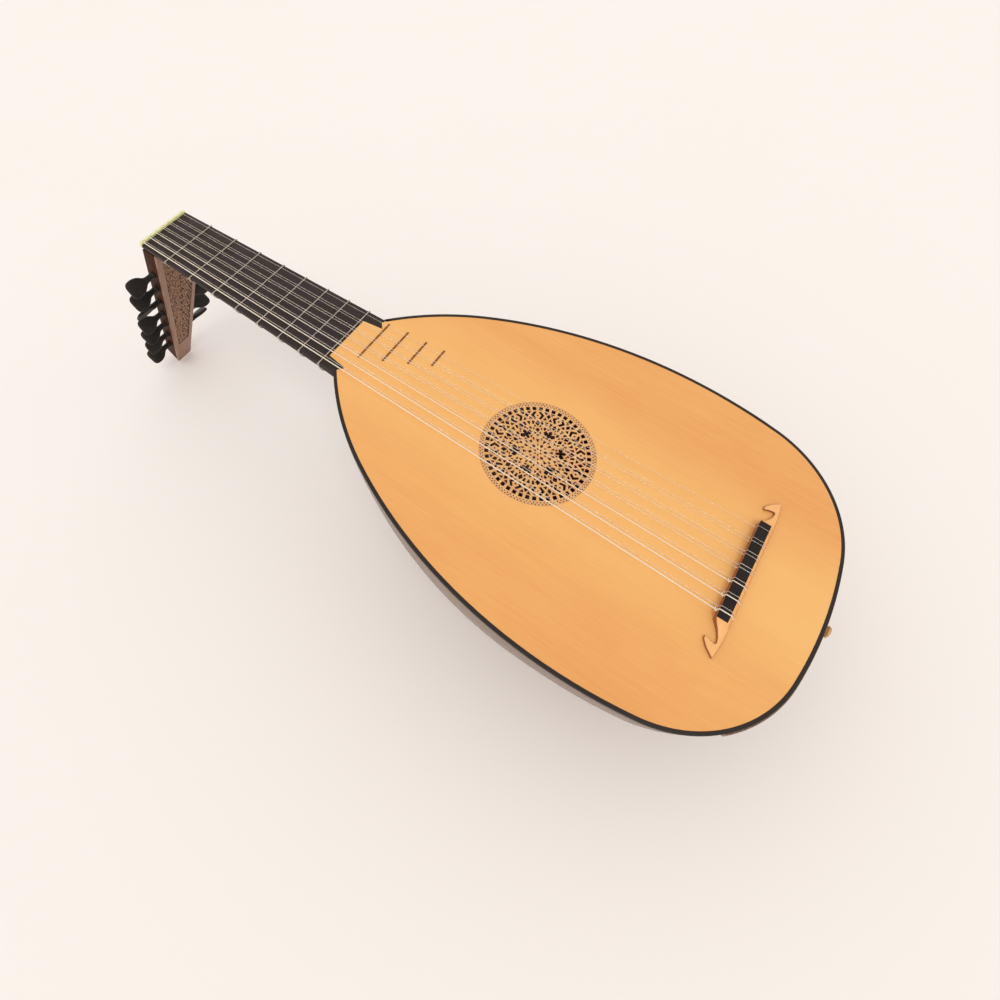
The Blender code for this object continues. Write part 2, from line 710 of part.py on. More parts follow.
# The bridge
def bridge_tip(side):
    """Outline of a scroll tip, from the front of the bridge round to its heel."""
    return [(STRING_LENGTH + x, side * (BRIDGE_HALF_LENGTH + y)) for x, y in BRIDGE_TIP_SHAPE]


def make_bridge_base(material, parent):
    """Reddish base: a low foot that ends in scrolls, with the drilled bar on it."""
    front = STRING_LENGTH
    heel = front + BRIDGE_TOP_WIDTH + BRIDGE_HEEL
    end = BRIDGE_HALF_LENGTH
    foot = [(front, end)] + bridge_tip(1.0) + [(heel, end), (heel, -end)]
    foot += list(reversed(bridge_tip(-1.0))) + [(front, -end)]
    base = add_object("bridge_base", finish_mesh(prism(foot, GAP, BRIDGE_TIP_HEIGHT), "base"),
                      material, parent)
    bar = [(front, BRIDGE_TIP_HEIGHT / 2.0), (heel, BRIDGE_TIP_HEIGHT / 2.0),
           (front + BRIDGE_TOP_WIDTH, BRIDGE_BASE_HEIGHT), (front, BRIDGE_BASE_HEIGHT)]
    join_by_boolean(base, [scratch_solid(prism(bar, -end, end, along="y"))], "UNION")
    holes = []
    for number in range(len(STRING_DIAMETERS)):
        middle = (front, bridge_y(number), BRIDGE_HOLE_HEIGHT)
        holes.append(scratch_solid(rod(middle, (1, 0, 0), BRIDGE_HOLE_RADIUS,
                                       CUTTER_REACH / 4.0, 8)))
    return join_by_boolean(base, holes, "DIFFERENCE")


def bridge_top():
    return BRIDGE_BASE_HEIGHT + GAP + BRIDGE_CAP_THICKNESS


def make_bridge_cap(material, parent):
    front = STRING_LENGTH
    low = BRIDGE_BASE_HEIGHT + GAP
    ease = BRIDGE_CAP_THICKNESS * 0.35
    back = front + BRIDGE_TOP_WIDTH
    outline = [(front, low), (back, low), (back, bridge_top() - ease),
               (back - ease, bridge_top()), (front + ease, bridge_top()),
               (front, bridge_top() - ease)]
    half = BRIDGE_HALF_LENGTH
    mesh = finish_mesh(prism(outline, -half, half, along="y"), "bridge_cap")
    return add_object("bridge_cap", mesh, material, parent)


# The neck, the nut and the fingerboard
def neck_half_width(x):
    share = x / NECK_JOINT_X
    return NECK_HALF_WIDTH_NUT + (NECK_HALF_WIDTH_BODY - NECK_HALF_WIDTH_NUT) * share


def neck_depth(x):
    share = x / NECK_JOINT_X
    return NECK_DEPTH_NUT + (NECK_DEPTH_BODY - NECK_DEPTH_NUT) * share


def neck_section(x, grow=0.0, count=12):
    """Lower edge of the neck's cross-section, bass side to treble side."""
    half = neck_half_width(x) + grow
    deep = neck_depth(x) + grow
    steps = [math.pi * k / count for k in range(count + 1)]
    return [(-half * math.cos(a), NECK_TOP - deep * math.sin(a)) for a in steps]


def pegbox_point(down, y, inward):
    """A point of the pegbox: down its length, across, and in from its open front."""
    origin = Vector((PEGBOX_ORIGIN[0], y, PEGBOX_ORIGIN[1]))
    return origin + PEGBOX_DOWN * down + PEGBOX_IN * inward


def make_neck(material, parent):
    """The neck, with a step cut under its end where the pegbox fits."""
    ends = (NUT_FRONT_X - NUT_THICKNESS, NECK_JOINT_X - GAP / 2.0)
    sections = [[(x, y, z) for y, z in neck_section(x)] for x in ends]
    neck = add_object("neck", finish_mesh(loft(sections), "neck", 30), material, parent)
    top = PEGBOX_TOP_Z + GAP
    inward = PEGBOX_DEPTH + GAP
    corner = pegbox_point(pegbox_top_down(inward) - GAP / math.sin(BEND), 0.0, inward)
    far = corner + PEGBOX_DOWN * CUTTER_REACH
    outline = [(-CUTTER_REACH, top), (corner.x, top), (far.x, far.z), (-CUTTER_REACH, far.z)]
    cutter = scratch_solid(prism(outline, -CUTTER_REACH, CUTTER_REACH, along="y"))
    return join_by_boolean(neck, [cutter], "DIFFERENCE")


def make_fingerboard(material, parent):
    """Black board that ends in two points beside the soundboard's tongue."""
    start = NUT_FRONT_X + GAP
    end = NECK_JOINT_X
    edge = board_row(-EDGING_WIDTH)[-1]
    half = [(start, neck_half_width(start)), (end, neck_half_width(end)),
            (end, edge[1] - 3.0 * GAP), POINT_TIP, TONGUE_CORNER]
    outline = half + [(x, -y) for x, y in reversed(half)]
    mesh = finish_mesh(prism(outline, -BOARD_THICKNESS, 0.0), "fingerboard")
    return add_object("fingerboard", mesh, material, parent)


def make_nut(material, parent):
    """Bone nut with a slot for each string."""
    half = NECK_HALF_WIDTH_NUT
    low = -BOARD_THICKNESS
    top = [(-half, NUT_HEIGHT - NUT_EASE), (-half + NUT_EASE, NUT_HEIGHT)]
    for number in reversed(range(len(STRING_DIAMETERS))):
        y = nut_y(number)
        wide = (STRING_DIAMETERS[number] + NUT_SLOT_WIDTH) / 2.0
        top += [(y - wide, NUT_HEIGHT), (y - wide, NUT_SLOT_HEIGHT),
                (y + wide, NUT_SLOT_HEIGHT), (y + wide, NUT_HEIGHT)]
    top += [(half - NUT_EASE, NUT_HEIGHT), (half, NUT_HEIGHT - NUT_EASE)]
    outline = [(-half, low)] + top + [(half, low)]
    bm = bmesh.new()
    fill_plate(bm, [outline], NUT_FRONT_X)
    swap = Matrix(((0, 0, 1, 0), (1, 0, 0, 0), (0, 1, 0, 0), (0, 0, 0, 1)))
    bmesh.ops.transform(bm, matrix=swap, verts=bm.verts)
    grown = bmesh.ops.extrude_face_region(bm, geom=bm.faces[:])
    moved = [g for g in grown["geom"] if isinstance(g, bmesh.types.BMVert)]
    bmesh.ops.translate(bm, verts=moved, vec=(-NUT_THICKNESS, 0, 0))
    return add_object("nut", finish_mesh(bm, "nut"), material, parent)


# The pegbox and the pegs
def pegbox_half_width(down):
    share = down / PEGBOX_LENGTH
    return PEGBOX_HALF_WIDTH_TOP + (PEGBOX_HALF_WIDTH_END - PEGBOX_HALF_WIDTH_TOP) * share


def pegbox_top_down(inward):
    """How far down the pegbox's length the level of the neck's tongue lies."""
    drop = PEGBOX_ORIGIN[1] - PEGBOX_TOP_Z
    return (drop - math.cos(BEND) * inward) / math.sin(BEND)


def pegbox_end_down(inward):
    """How far down the pegbox ends; the end is cut on a slant, longest at the back."""
    return PEGBOX_LENGTH + PEGBOX_SLANT * inward / PEGBOX_DEPTH


def pegbox_slab(near_y, far_y, front, back, top=None):
    """A board of the pegbox; near_y and far_y give its faces from the place down the box."""
    ends = (pegbox_end_down(front), pegbox_end_down(back))
    sections = []
    for edge in (near_y, far_y):
        ring = []
        for inward, down in ((front, top), (back, top), (back, ends[1]), (front, ends[0])):
            place = pegbox_top_down(inward) if down is None else down
            ring.append(pegbox_point(place, edge(place), inward))
        sections.append(ring)
    return loft(sections)


def peg_place(index):
    """Distance down the pegbox, and the side of the head: -1 for the bass side."""
    side = -1.0 if index % 2 == 0 else 1.0
    return FIRST_PEG + PEG_PITCH * index, side


def peg_radius(index, y):
    """Radius of a peg's shaft at a distance across the pegbox."""
    down, side = peg_place(index)
    return PEG_RADIUS - PEG_TAPER * (pegbox_half_width(down) - side * y)


def make_cheek(name, side, material, parent):
    """Side wall of the pegbox, bored for all the pegs."""
    back = PEGBOX_DEPTH - PEGBOX_BACK_THICKNESS - GAP
    slab = pegbox_slab(lambda d: side * pegbox_half_width(d),
                       lambda d: side * (pegbox_half_width(d) - CHEEK_THICKNESS), 0.0, back)
    cheek = add_object(name, finish_mesh(slab, name), material, parent)
    bores = []
    for index in range(PEG_COUNT):
        down = peg_place(index)[0]
        y = side * (pegbox_half_width(down) - CHEEK_THICKNESS / 2.0)
        radius = peg_radius(index, y) + PEG_HOLE_CLEARANCE
        centre = pegbox_point(down, y, PEG_AXIS_DEPTH)
        bores.append(scratch_solid(rod(centre, (0, 1, 0), radius, CHEEK_THICKNESS, 12)))
    return join_by_boolean(cheek, bores, "DIFFERENCE")


def make_pegbox_back(material, parent):
    slab = pegbox_slab(lambda d: -pegbox_half_width(d), pegbox_half_width,
                       PEGBOX_DEPTH - PEGBOX_BACK_THICKNESS, PEGBOX_DEPTH)
    return add_object("pegbox_back", finish_mesh(slab, "pegbox_back"), material, parent)


def make_pegbox_end(material, parent):
    inset = CHEEK_THICKNESS + GAP
    back = PEGBOX_DEPTH - PEGBOX_BACK_THICKNESS - GAP
    slab = pegbox_slab(lambda d: -(pegbox_half_width(d) - inset),
                       lambda d: pegbox_half_width(d) - inset, 0.0, back,
                       top=PEGBOX_LENGTH - PEGBOX_END_THICKNESS)
    return add_object("pegbox_end", finish_mesh(slab, "pegbox_end"), material, parent)


def make_peg(index, material, parent):
    """A tapered friction peg, from its small end to its flat paddle head."""
    down, side = peg_place(index)
    cheek = pegbox_half_width(down)
    tip = PEG_RADIUS - PEG_TAPER * 2.0 * cheek
    neck = cheek + PEG_SHANK
    wide = PEG_HEAD_HALF_WIDTH
    flat = PEG_HEAD_HALF_THICKNESS
    profile = [(-cheek + GAP, tip, tip), (cheek, PEG_RADIUS, PEG_RADIUS),
               (neck - PEG_COLLAR_LENGTH, PEG_RADIUS * 0.82, PEG_RADIUS * 0.82),
               (neck, PEG_RADIUS * 0.95, flat)]
    profile += [(neck + PEG_HEAD_LENGTH * a, wide * b, flat * c) for a, b, c in PEG_HEAD_PROFILE]
    sides = 12
    rings = []
    for along, half, thick in profile:
        steps = [2.0 * math.pi * k / sides for k in range(sides)]
        rings.append([(half * math.cos(a), along, thick * math.sin(a)) for a in steps])
    mesh = finish_mesh(loft(rings), "peg", 35)
    centre = pegbox_point(down, 0.0, PEG_AXIS_DEPTH)
    turn = math.radians(PEG_TURNS[index])
    rotation = (0.0, turn, 0.0 if side > 0 else math.pi)
    return add_object("peg_%02d" % (index + 1), mesh, material, parent, centre, rotation)


# The strings and the tied frets
def course_y(number, spread, pair):
    """Place of a string across the neck; the first course is single, the others are pairs."""
    course = (number + 1) // 2
    middle = spread / 2.0 - spread * course / (COURSE_COUNT - 1)
    if number == 0:
        return middle
    return middle + (pair / 2.0 if number % 2 == 1 else -pair / 2.0)


def nut_y(number):
    return course_y(number, NUT_STRING_SPREAD, NUT_PAIR_SPACING)


def bridge_y(number):
    return course_y(number, BRIDGE_STRING_SPREAD, BRIDGE_PAIR_SPACING) + BRIDGE_STRING_SHIFT


def string_peg(number):
    """The outermost strings go to the pegs nearest the nut, side by side inwards."""
    last = len(STRING_DIAMETERS) - 1
    if number <= 5:
        return 2 * number + 1
    return 2 * (last - number)


def winding(number, leave):
    """Turns of a string round its peg, from the tangent that comes off the nut."""
    radius = STRING_DIAMETERS[number] / 2.0
    index = string_peg(number)
    down, side = peg_place(index)
    pitch = 2.0 * radius + WINDING_SPACE
    room = pegbox_half_width(down) - CHEEK_THICKNESS - WINDING_TURNS * pitch - WINDING_MARGIN
    start_y = side * max(0.0, min(room, abs(leave[1])))
    reach = peg_radius(index, start_y + side * WINDING_TURNS * pitch) + WINDING_CLEARANCE + radius
    centre = pegbox_point(down, 0.0, PEG_AXIS_DEPTH)
    gap_vector = Vector((leave[0], 0.0, leave[2])) - centre
    along = gap_vector.dot(PEGBOX_DOWN)
    inward = gap_vector.dot(PEGBOX_IN)
    angle = math.atan2(along, -inward) + math.acos(reach / math.hypot(along, inward))
    steps = int(WINDING_TURNS * WINDING_POINTS_PER_TURN)
    points = []
    for k in range(steps + 1):
        turn = angle + 2.0 * math.pi * k / WINDING_POINTS_PER_TURN
        y = start_y + side * pitch * k / WINDING_POINTS_PER_TURN
        points.append(pegbox_point(down + reach * math.sin(turn), y,
                                   PEG_AXIS_DEPTH - reach * math.cos(turn)))
    return points


def string_route(number):
    """Tie at the bridge, straight run, bend over the nut, turns round the peg."""
    radius = STRING_DIAMETERS[number] / 2.0
    far_y = bridge_y(number)
    near_y = nut_y(number)
    clear = STRING_CLEARANCE + radius
    front = STRING_LENGTH
    back = front + BRIDGE_TOP_WIDTH
    top = bridge_top() + clear
    hole = BRIDGE_HOLE_HEIGHT
    slope = BRIDGE_HEEL / (BRIDGE_BASE_HEIGHT - BRIDGE_TIP_HEIGHT / 2.0)
    exit_x = back + slope * (BRIDGE_BASE_HEIGHT - hole)
    tie = [(front - clear - 0.0006, far_y, hole + 0.0026),
           (front - clear, far_y, bridge_top() - 0.0004),
           (front + 0.0003, far_y, top), (back - 0.0003, far_y, top),
           (back + clear, far_y, bridge_top() - 0.0004),
           (exit_x + 0.0016, far_y, hole + 0.0012),
           (exit_x + 0.0013, far_y, hole + 0.0003), (exit_x + 0.0006, far_y, hole),
           (front - 0.0010, far_y, hole)]
    rest_z = NUT_SLOT_HEIGHT + GAP + radius
    bend_radius = GAP + radius + NUT_ROUNDING
    over = [(NUT_FRONT_X, near_y, rest_z)]
    nut_back = NUT_FRONT_X - NUT_THICKNESS
    for k in range(4):
        turn = math.radians(90.0 + 72.0 * k / 3.0)
        over.append((nut_back - NUT_ROUNDING + bend_radius * math.cos(turn), near_y,
                     rest_z - bend_radius + bend_radius * math.sin(turn)))
    return [Vector(p) for p in tie + over] + winding(number, over[-1])


def least_gap(points, radius):
    """Smallest distance between stretches of a cord that aren't neighbours."""
    least = 1.0
    for i, first in enumerate(points):
        for j in range(i + 5, len(points)):
            least = min(least, (first - points[j]).length - 2.0 * radius)
    return least


def make_string(number, material, parent):
    points = string_route(number)
    radius = STRING_DIAMETERS[number] / 2.0
    gap = least_gap(points, radius)
    length = sum((b - a).length for a, b in zip(points, points[1:]))
    print("string_%02d length %.4f m, least gap to itself %.2f mm" % (number + 1, length,
                                                                     gap * 1000.0))
    return tube("string_%02d" % (number + 1), points, radius, material, parent)


def make_fret(number, material, parent):
    """A gut fret tied round the neck, with its knot on the bass side."""
    x = FRET_RULE_LENGTH * (1.0 - 2.0 ** (-(number + 1) / 12.0))
    level = GAP + FRET_RADIUS
    out = FRET_CLEARANCE + FRET_RADIUS
    half = neck_half_width(x) + out
    lower = neck_section(x, out)
    loop = [(half - 0.0004, level), (-half + 0.0004, level),
            (-half - 0.0004, -0.0004), (-half - 0.0002, -0.0016)]
    loop += [(y, z) for y, z in lower[1:-1]]
    loop += [(half, -0.0012)]
    points = [Vector((0.0, y, z)) for y, z in loop]
    points[2].y -= FRET_KNOT_RADIUS - FRET_RADIUS
    swell = {2: FRET_KNOT_RADIUS / FRET_RADIUS}
    return tube("fret_%d" % (number + 1), points, FRET_RADIUS, material, parent, closed=True,
                location=(x, 0.0, 0.0), swell=swell)


# The whole lute, laid down on its back
def rest_tilt():
    """Turn that sets both the bowl and the end of the pegbox on one level."""
    toe = pegbox_point(pegbox_end_down(PEGBOX_DEPTH), 0.0, PEGBOX_DEPTH)
    middle = math.pi * (RIB_COUNT // 2) / RIB_COUNT
    slopes = []
    for angle in station_angles(math.asin(RIB_TAIL_RADIUS / TAIL_ARC_RADIUS), NECK_JOINT_X, 0.0):
        low = bowl_point(outline_point(angle), middle)
        slopes.append((low.z - toe.z) / (low.x - toe.x))
    return math.atan(min(slopes))


def lay_down(frame):
    """Turn the lute onto its back and set the middle of its footprint on the origin."""
    frame.rotation_euler = (0.0, rest_tilt(), 0.0)
    bpy.context.view_layer.update()
    depsgraph = bpy.context.evaluated_depsgraph_get()
    corners = []
    for piece in bpy.context.scene.objects:
        if piece.type in {"MESH", "CURVE"}:
            shape = piece.evaluated_get(depsgraph)
            mesh = shape.to_mesh()
            corners += [shape.matrix_world @ v.co for v in mesh.vertices]
            shape.to_mesh_clear()
    low = [min(c[i] for c in corners) for i in range(3)]
    high = [max(c[i] for c in corners) for i in range(3)]
    frame.location = (-(low[0] + high[0]) / 2.0, -(low[1] + high[1]) / 2.0, -low[2])
    bpy.context.view_layer.update()


def build():
    clear_scene()
    spruce = make_material("spruce", (0.80, 0.50, 0.22), 0.45)
    rose_wood = make_material("rose_wood", (0.72, 0.47, 0.22), 0.55)
    ebony = make_material("ebony", (0.020, 0.016, 0.014), 0.35)
    walnut = make_material("walnut", (0.20, 0.12, 0.07), 0.40)
    carved = make_material("carved_walnut", (0.26, 0.16, 0.10), 0.50)
    red_wood = make_material("red_wood", (0.38, 0.13, 0.06), 0.45)
    block_wood = make_material("block_wood", (0.55, 0.38, 0.22), 0.60)
    bone = make_material("bone", (0.80, 0.76, 0.42), 0.40)
    gut = make_material("gut", (0.62, 0.55, 0.44), 0.35)
    wound = make_material("wound_string", (0.75, 0.72, 0.66), 0.30, 0.6)
    tan_wood = make_material("tan_wood", (0.55, 0.33, 0.14), 0.45)

    frame = bpy.data.objects.new("lute_frame", None)
    bpy.context.scene.collection.objects.link(frame)

    for index in range(RIB_COUNT):
        make_rib(index, walnut, frame)
    make_neck_block(block_wood, frame)
    make_tail_block(block_wood, frame)
    make_end_clasp(walnut, frame)
    make_end_button(tan_wood, frame)
    make_soundboard(spruce, frame)
    make_edging(ebony, frame)
    make_rose(rose_wood, frame)
    make_bridge_base(red_wood, frame)
    make_bridge_cap(ebony, frame)
    make_neck(walnut, frame)
    make_fingerboard(ebony, frame)
    make_nut(bone, frame)
    make_cheek("pegbox_cheek_bass", -1.0, walnut, frame)
    make_cheek("pegbox_cheek_treble", 1.0, walnut, frame)
    make_pegbox_back(carved, frame)
    make_pegbox_end(walnut, frame)
    for index in range(PEG_COUNT):
        make_peg(index, ebony, frame)
    for number in range(len(STRING_DIAMETERS)):
        make_string(number, wound if number in WOUND_STRINGS else gut, frame)
    for number in range(FRET_COUNT):
        make_fret(number, gut, frame)
    lay_down(frame)


build()
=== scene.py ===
import math
import random

import bmesh
import bpy
from mathutils import Matrix, Vector
from mathutils.geometry import delaunay_2d_cdt
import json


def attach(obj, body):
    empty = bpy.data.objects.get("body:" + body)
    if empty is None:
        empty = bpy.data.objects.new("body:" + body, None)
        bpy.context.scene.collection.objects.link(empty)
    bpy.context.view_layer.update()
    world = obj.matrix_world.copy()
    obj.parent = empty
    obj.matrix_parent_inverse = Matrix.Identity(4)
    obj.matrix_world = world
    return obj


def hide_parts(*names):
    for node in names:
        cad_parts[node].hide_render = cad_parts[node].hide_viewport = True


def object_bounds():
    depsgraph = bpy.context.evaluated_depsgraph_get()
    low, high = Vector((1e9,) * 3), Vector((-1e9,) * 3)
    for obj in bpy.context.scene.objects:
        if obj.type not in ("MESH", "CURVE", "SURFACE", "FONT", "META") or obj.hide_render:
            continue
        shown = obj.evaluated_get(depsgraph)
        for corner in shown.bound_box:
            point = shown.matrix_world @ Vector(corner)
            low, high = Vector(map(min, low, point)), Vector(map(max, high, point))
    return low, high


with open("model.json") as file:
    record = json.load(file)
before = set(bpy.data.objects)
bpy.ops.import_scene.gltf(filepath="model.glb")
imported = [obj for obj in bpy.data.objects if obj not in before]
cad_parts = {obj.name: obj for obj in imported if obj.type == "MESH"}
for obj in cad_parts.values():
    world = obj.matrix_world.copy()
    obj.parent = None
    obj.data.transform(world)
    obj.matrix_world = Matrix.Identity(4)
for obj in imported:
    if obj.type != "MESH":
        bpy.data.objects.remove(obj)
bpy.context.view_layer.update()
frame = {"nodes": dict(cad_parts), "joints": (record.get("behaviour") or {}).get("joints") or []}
print("frame loaded:", len(frame["nodes"]), "nodes")


# How the lute lies. Its own frame has x from the nut to the tail, y to the treble side and
# z out of the soundboard; every piece is drawn in it and then carried into the row's frame.
solidNutFace = 0.0026             # the solid nut's face, ahead of where x is counted from


def readLie():
    slide = next(joint for joint in frame["joints"] if joint["name"] == "fret_1_slide")
    tilt = math.atan2(-slide["axis"][2], slide["axis"][0])
    turn = Matrix.Rotation(tilt, 4, "Y")
    board = [turn.inverted() @ v.co for v in frame["nodes"]["fingerboard"].data.vertices]
    nut = [turn.inverted() @ v.co for v in frame["nodes"]["nut"].data.vertices]
    middle = (max(p.y for p in board) + min(p.y for p in board)) / 2.0
    start = Vector((max(p.x for p in nut) - solidNutFace, middle, max(p.z for p in board)))
    return tilt, turn @ Matrix.Translation(start)


luteTilt, luteToRow = readLie()


# Camera at the photograph's viewing angle, given in the lute's own frame
cameraView = {
    "lens": 23.904,
    "sensor": 36.0,
    "shift": (0.06, -0.06),
    "place": (0.48116, -0.27515, 0.46892),
    "right": (0.82551, 0.56180, 0.05391),
    "down": (0.50997, -0.70159, -0.49770),
}


def makeCamera():
    data = bpy.data.cameras.new("photoCamera")
    data.lens = cameraView["lens"]
    data.sensor_width = cameraView["sensor"]
    data.shift_x, data.shift_y = cameraView["shift"]
    data.clip_start = 0.01
    right = Vector(cameraView["right"]).normalized()
    up = -Vector(cameraView["down"])
    up = (up - right * up.dot(right)).normalized()
    back = right.cross(up)
    axes = Matrix((right, up, back)).transposed().to_4x4()
    camera = bpy.data.objects.new("photoCamera", data)
    bpy.context.scene.collection.objects.link(camera)
    camera.matrix_world = luteToRow @ Matrix.Translation(cameraView["place"]) @ axes
    bpy.context.scene.camera = camera


makeCamera()


# Small helpers for node trees
def place(tree, kind, inputs=None, **settings):
    node = tree.nodes.new(kind)
    for key, value in settings.items():
        setattr(node, key, value)
    for key, value in (inputs or {}).items():
        if isinstance(value, bpy.types.NodeSocket):
            tree.links.new(value, node.inputs[key])
        else:
            node.inputs[key].default_value = value
    return node


def calc(tree, operation, first, second=0.0, third=0.0):
    inputs = {0: first, 1: second, 2: third}
    return place(tree, "ShaderNodeMath", inputs, operation=operation).outputs[0]


def srgb(red, green, blue):
    def linear(value):
        share = value / 255.0
        return share / 12.92 if share <= 0.04045 else ((share + 0.055) / 1.055) ** 2.4
    return (linear(red), linear(green), linear(blue), 1.0)


# Shader groups that several finishes share
def newShaderGroup(name, inputs, outputs):
    tree = bpy.data.node_groups.new(name, "ShaderNodeTree")
    for label, kind, value in inputs:
        socket = tree.interface.new_socket(label, in_out="INPUT", socket_type="NodeSocket" + kind)
        if value is not None:
            socket.default_value = value
    for label, kind in outputs:
        tree.interface.new_socket(label, in_out="OUTPUT", socket_type="NodeSocket" + kind)
    return tree, tree.nodes.new("NodeGroupInput"), tree.nodes.new("NodeGroupOutput")


def makeGrainGroup():
    tree, start, end = newShaderGroup("woodGrain", [
        ("Vector", "Vector", None),
        ("Light", "Color", (0.8, 0.6, 0.4, 1.0)),
        ("Dark", "Color", (0.5, 0.3, 0.2, 1.0)),
        ("Ring Width", "Float", 0.0014),
        ("Ring Contrast", "Float", 0.3),
        ("Streak Contrast", "Float", 0.3),
        ("Band Width", "Float", 0.03),
        ("Band Contrast", "Float", 0.3),
        ("Pores", "Float", 0.0),
        ("Gloss", "Float", 0.4),
    ], [("Color", "Color"), ("Roughness", "Float"), ("Height", "Float")])
    pick = start.outputs
    across = calc(tree, "DIVIDE", 1.0, pick["Ring Width"])
    along = calc(tree, "MULTIPLY", across, 0.02)
    scale = place(tree, "ShaderNodeCombineXYZ", {0: along, 1: across, 2: across})
    spread = place(tree, "ShaderNodeVectorMath", {0: pick["Vector"], 1: scale.outputs[0]},
                   operation="MULTIPLY")
    rings = place(tree, "ShaderNodeTexWave", {
        "Vector": spread.outputs[0], "Scale": 0.314, "Distortion": 3.0, "Detail": 2.0,
        "Detail Scale": 0.25, "Detail Roughness": 0.6}, bands_direction="Y")
    sharp = calc(tree, "POWER", rings.outputs["Fac"], 2.0)
    streaks = place(tree, "ShaderNodeTexNoise", {
        "Vector": spread.outputs[0], "Scale": 1.6, "Detail": 4.0, "Roughness": 0.6})
    bandAcross = calc(tree, "DIVIDE", 1.0, pick["Band Width"])
    bandAlong = calc(tree, "MULTIPLY", bandAcross, 0.12)
    bandScale = place(tree, "ShaderNodeCombineXYZ", {0: bandAlong, 1: bandAcross, 2: bandAcross})
    wide = place(tree, "ShaderNodeVectorMath", {0: pick["Vector"], 1: bandScale.outputs[0]},
                 operation="MULTIPLY")
    bands = place(tree, "ShaderNodeTexNoise", {
        "Vector": wide.outputs[0], "Scale": 1.0, "Detail": 2.0, "Roughness": 0.5})
    poreScale = place(tree, "ShaderNodeCombineXYZ", {0: 260.0, 1: 3600.0, 2: 3600.0})
    fine = place(tree, "ShaderNodeVectorMath", {0: pick["Vector"], 1: poreScale.outputs[0]},
                 operation="MULTIPLY")
    poreNoise = place(tree, "ShaderNodeTexNoise", {
        "Vector": fine.outputs[0], "Scale": 1.0, "Detail": 2.0, "Roughness": 0.5})
    pores = place(tree, "ShaderNodeMapRange", {
        "Value": poreNoise.outputs["Fac"], "From Min": 0.56, "From Max": 0.66})
    poreMask = calc(tree, "MULTIPLY", pores.outputs[0], pick["Pores"])
    ringPart = calc(tree, "MULTIPLY", sharp, pick["Ring Contrast"])
    streakShift = calc(tree, "SUBTRACT", streaks.outputs["Fac"], 0.5)
    streakPart = calc(tree, "MULTIPLY", streakShift, pick["Streak Contrast"])
    bandShift = calc(tree, "SUBTRACT", bands.outputs["Fac"], 0.5)
    bandPart = calc(tree, "MULTIPLY", bandShift, pick["Band Contrast"])
    total = calc(tree, "ADD", ringPart, streakPart)
    total = calc(tree, "ADD", total, bandPart)
    total = calc(tree, "ADD", total, poreMask)
    total = calc(tree, "ADD", total, 0.25)
    held = place(tree, "ShaderNodeClamp", {"Value": total})
    colour = place(tree, "ShaderNodeMix", {
        0: held.outputs[0], 6: pick["Light"], 7: pick["Dark"]}, data_type="RGBA")
    rough = calc(tree, "MULTIPLY_ADD", streaks.outputs["Fac"], 0.16, pick["Gloss"])
    height = calc(tree, "ADD", calc(tree, "MULTIPLY", sharp, 0.5), poreMask)
    tree.links.new(colour.outputs[2], end.inputs["Color"])
    tree.links.new(rough, end.inputs["Roughness"])
    tree.links.new(calc(tree, "SUBTRACT", 1.0, height), end.inputs["Height"])
    return tree


def makeToneAndSheenGroup():
    # Soft uneven tone: a broad cloudy patch and a fine mottle towards the worn colour, which is
    # real wear on most woods and a lighter painted sheen on the pegs
    tree, start, end = newShaderGroup("patchyToneAndSheen", [
        ("Vector", "Vector", None),
        ("Color", "Color", (0.5, 0.5, 0.5, 1.0)),
        ("Worn And Sheen Color", "Color", (0.3, 0.3, 0.3, 1.0)),
        ("Patch Size", "Float", 0.05),
        ("Amount", "Float", 0.4),
    ], [("Color", "Color"), ("Mask", "Float")])
    pick = start.outputs
    scale = calc(tree, "DIVIDE", 1.0, pick["Patch Size"])
    cloud = place(tree, "ShaderNodeTexNoise", {
        "Vector": pick["Vector"], "Scale": scale, "Detail": 4.0, "Roughness": 0.62})
    shaped = place(tree, "ShaderNodeMapRange", {
        "Value": cloud.outputs["Fac"], "From Min": 0.38, "From Max": 0.72})
    mask = calc(tree, "MULTIPLY", shaped.outputs[0], pick["Amount"])
    colour = place(tree, "ShaderNodeMix", {
        0: mask, 6: pick["Color"], 7: pick["Worn And Sheen Color"]}, data_type="RGBA")
    tree.links.new(colour.outputs[2], end.inputs["Color"])
    tree.links.new(mask, end.inputs["Mask"])
    return tree


def makeWallShadeGroup():
    # 1 on faces that stand up from the soundboard, 0 on those that lie along it; where it is 1 the
    # colour is darkened as painted shade
    tree, start, end = newShaderGroup("paintedWallShade", [
        ("Normal", "Vector", None),
        ("Up", "Vector", (0.0, 0.0, 1.0)),
        ("Lean", "Float", 0.6),
    ], [("Mask", "Float")])
    lean = place(tree, "ShaderNodeVectorMath", {0: start.outputs["Normal"], 1: start.outputs["Up"]},
                 operation="DOT_PRODUCT")
    mask = place(tree, "ShaderNodeMapRange", {
        "Value": lean.outputs["Value"], "From Min": start.outputs["Lean"],
        "From Max": calc(tree, "SUBTRACT", start.outputs["Lean"], 0.3)})
    tree.links.new(mask.outputs[0], end.inputs["Mask"])
    return tree


grainGroup = makeGrainGroup()
toneAndSheenGroup = makeToneAndSheenGroup()
wallShadeGroup = makeWallShadeGroup()
pegboxBend = math.radians(70.8)
neckGrain = (0.0, -luteTilt, 0.0)          # turns of object coordinates, to lay the grain
crossGrain = (0.0, -luteTilt, math.pi / 2.0)
pegboxGrain = (0.0, -(math.pi - pegboxBend + luteTilt), 0.0)
pegGrain = (0.0, 0.0, math.pi / 2.0)


def newMaterial(name, roughness=0.5):
    material = bpy.data.materials.new(name)
    material.use_nodes = True
    shader = material.node_tree.nodes["Principled BSDF"]
    shader.inputs["Roughness"].default_value = roughness
    return material, material.node_tree, shader


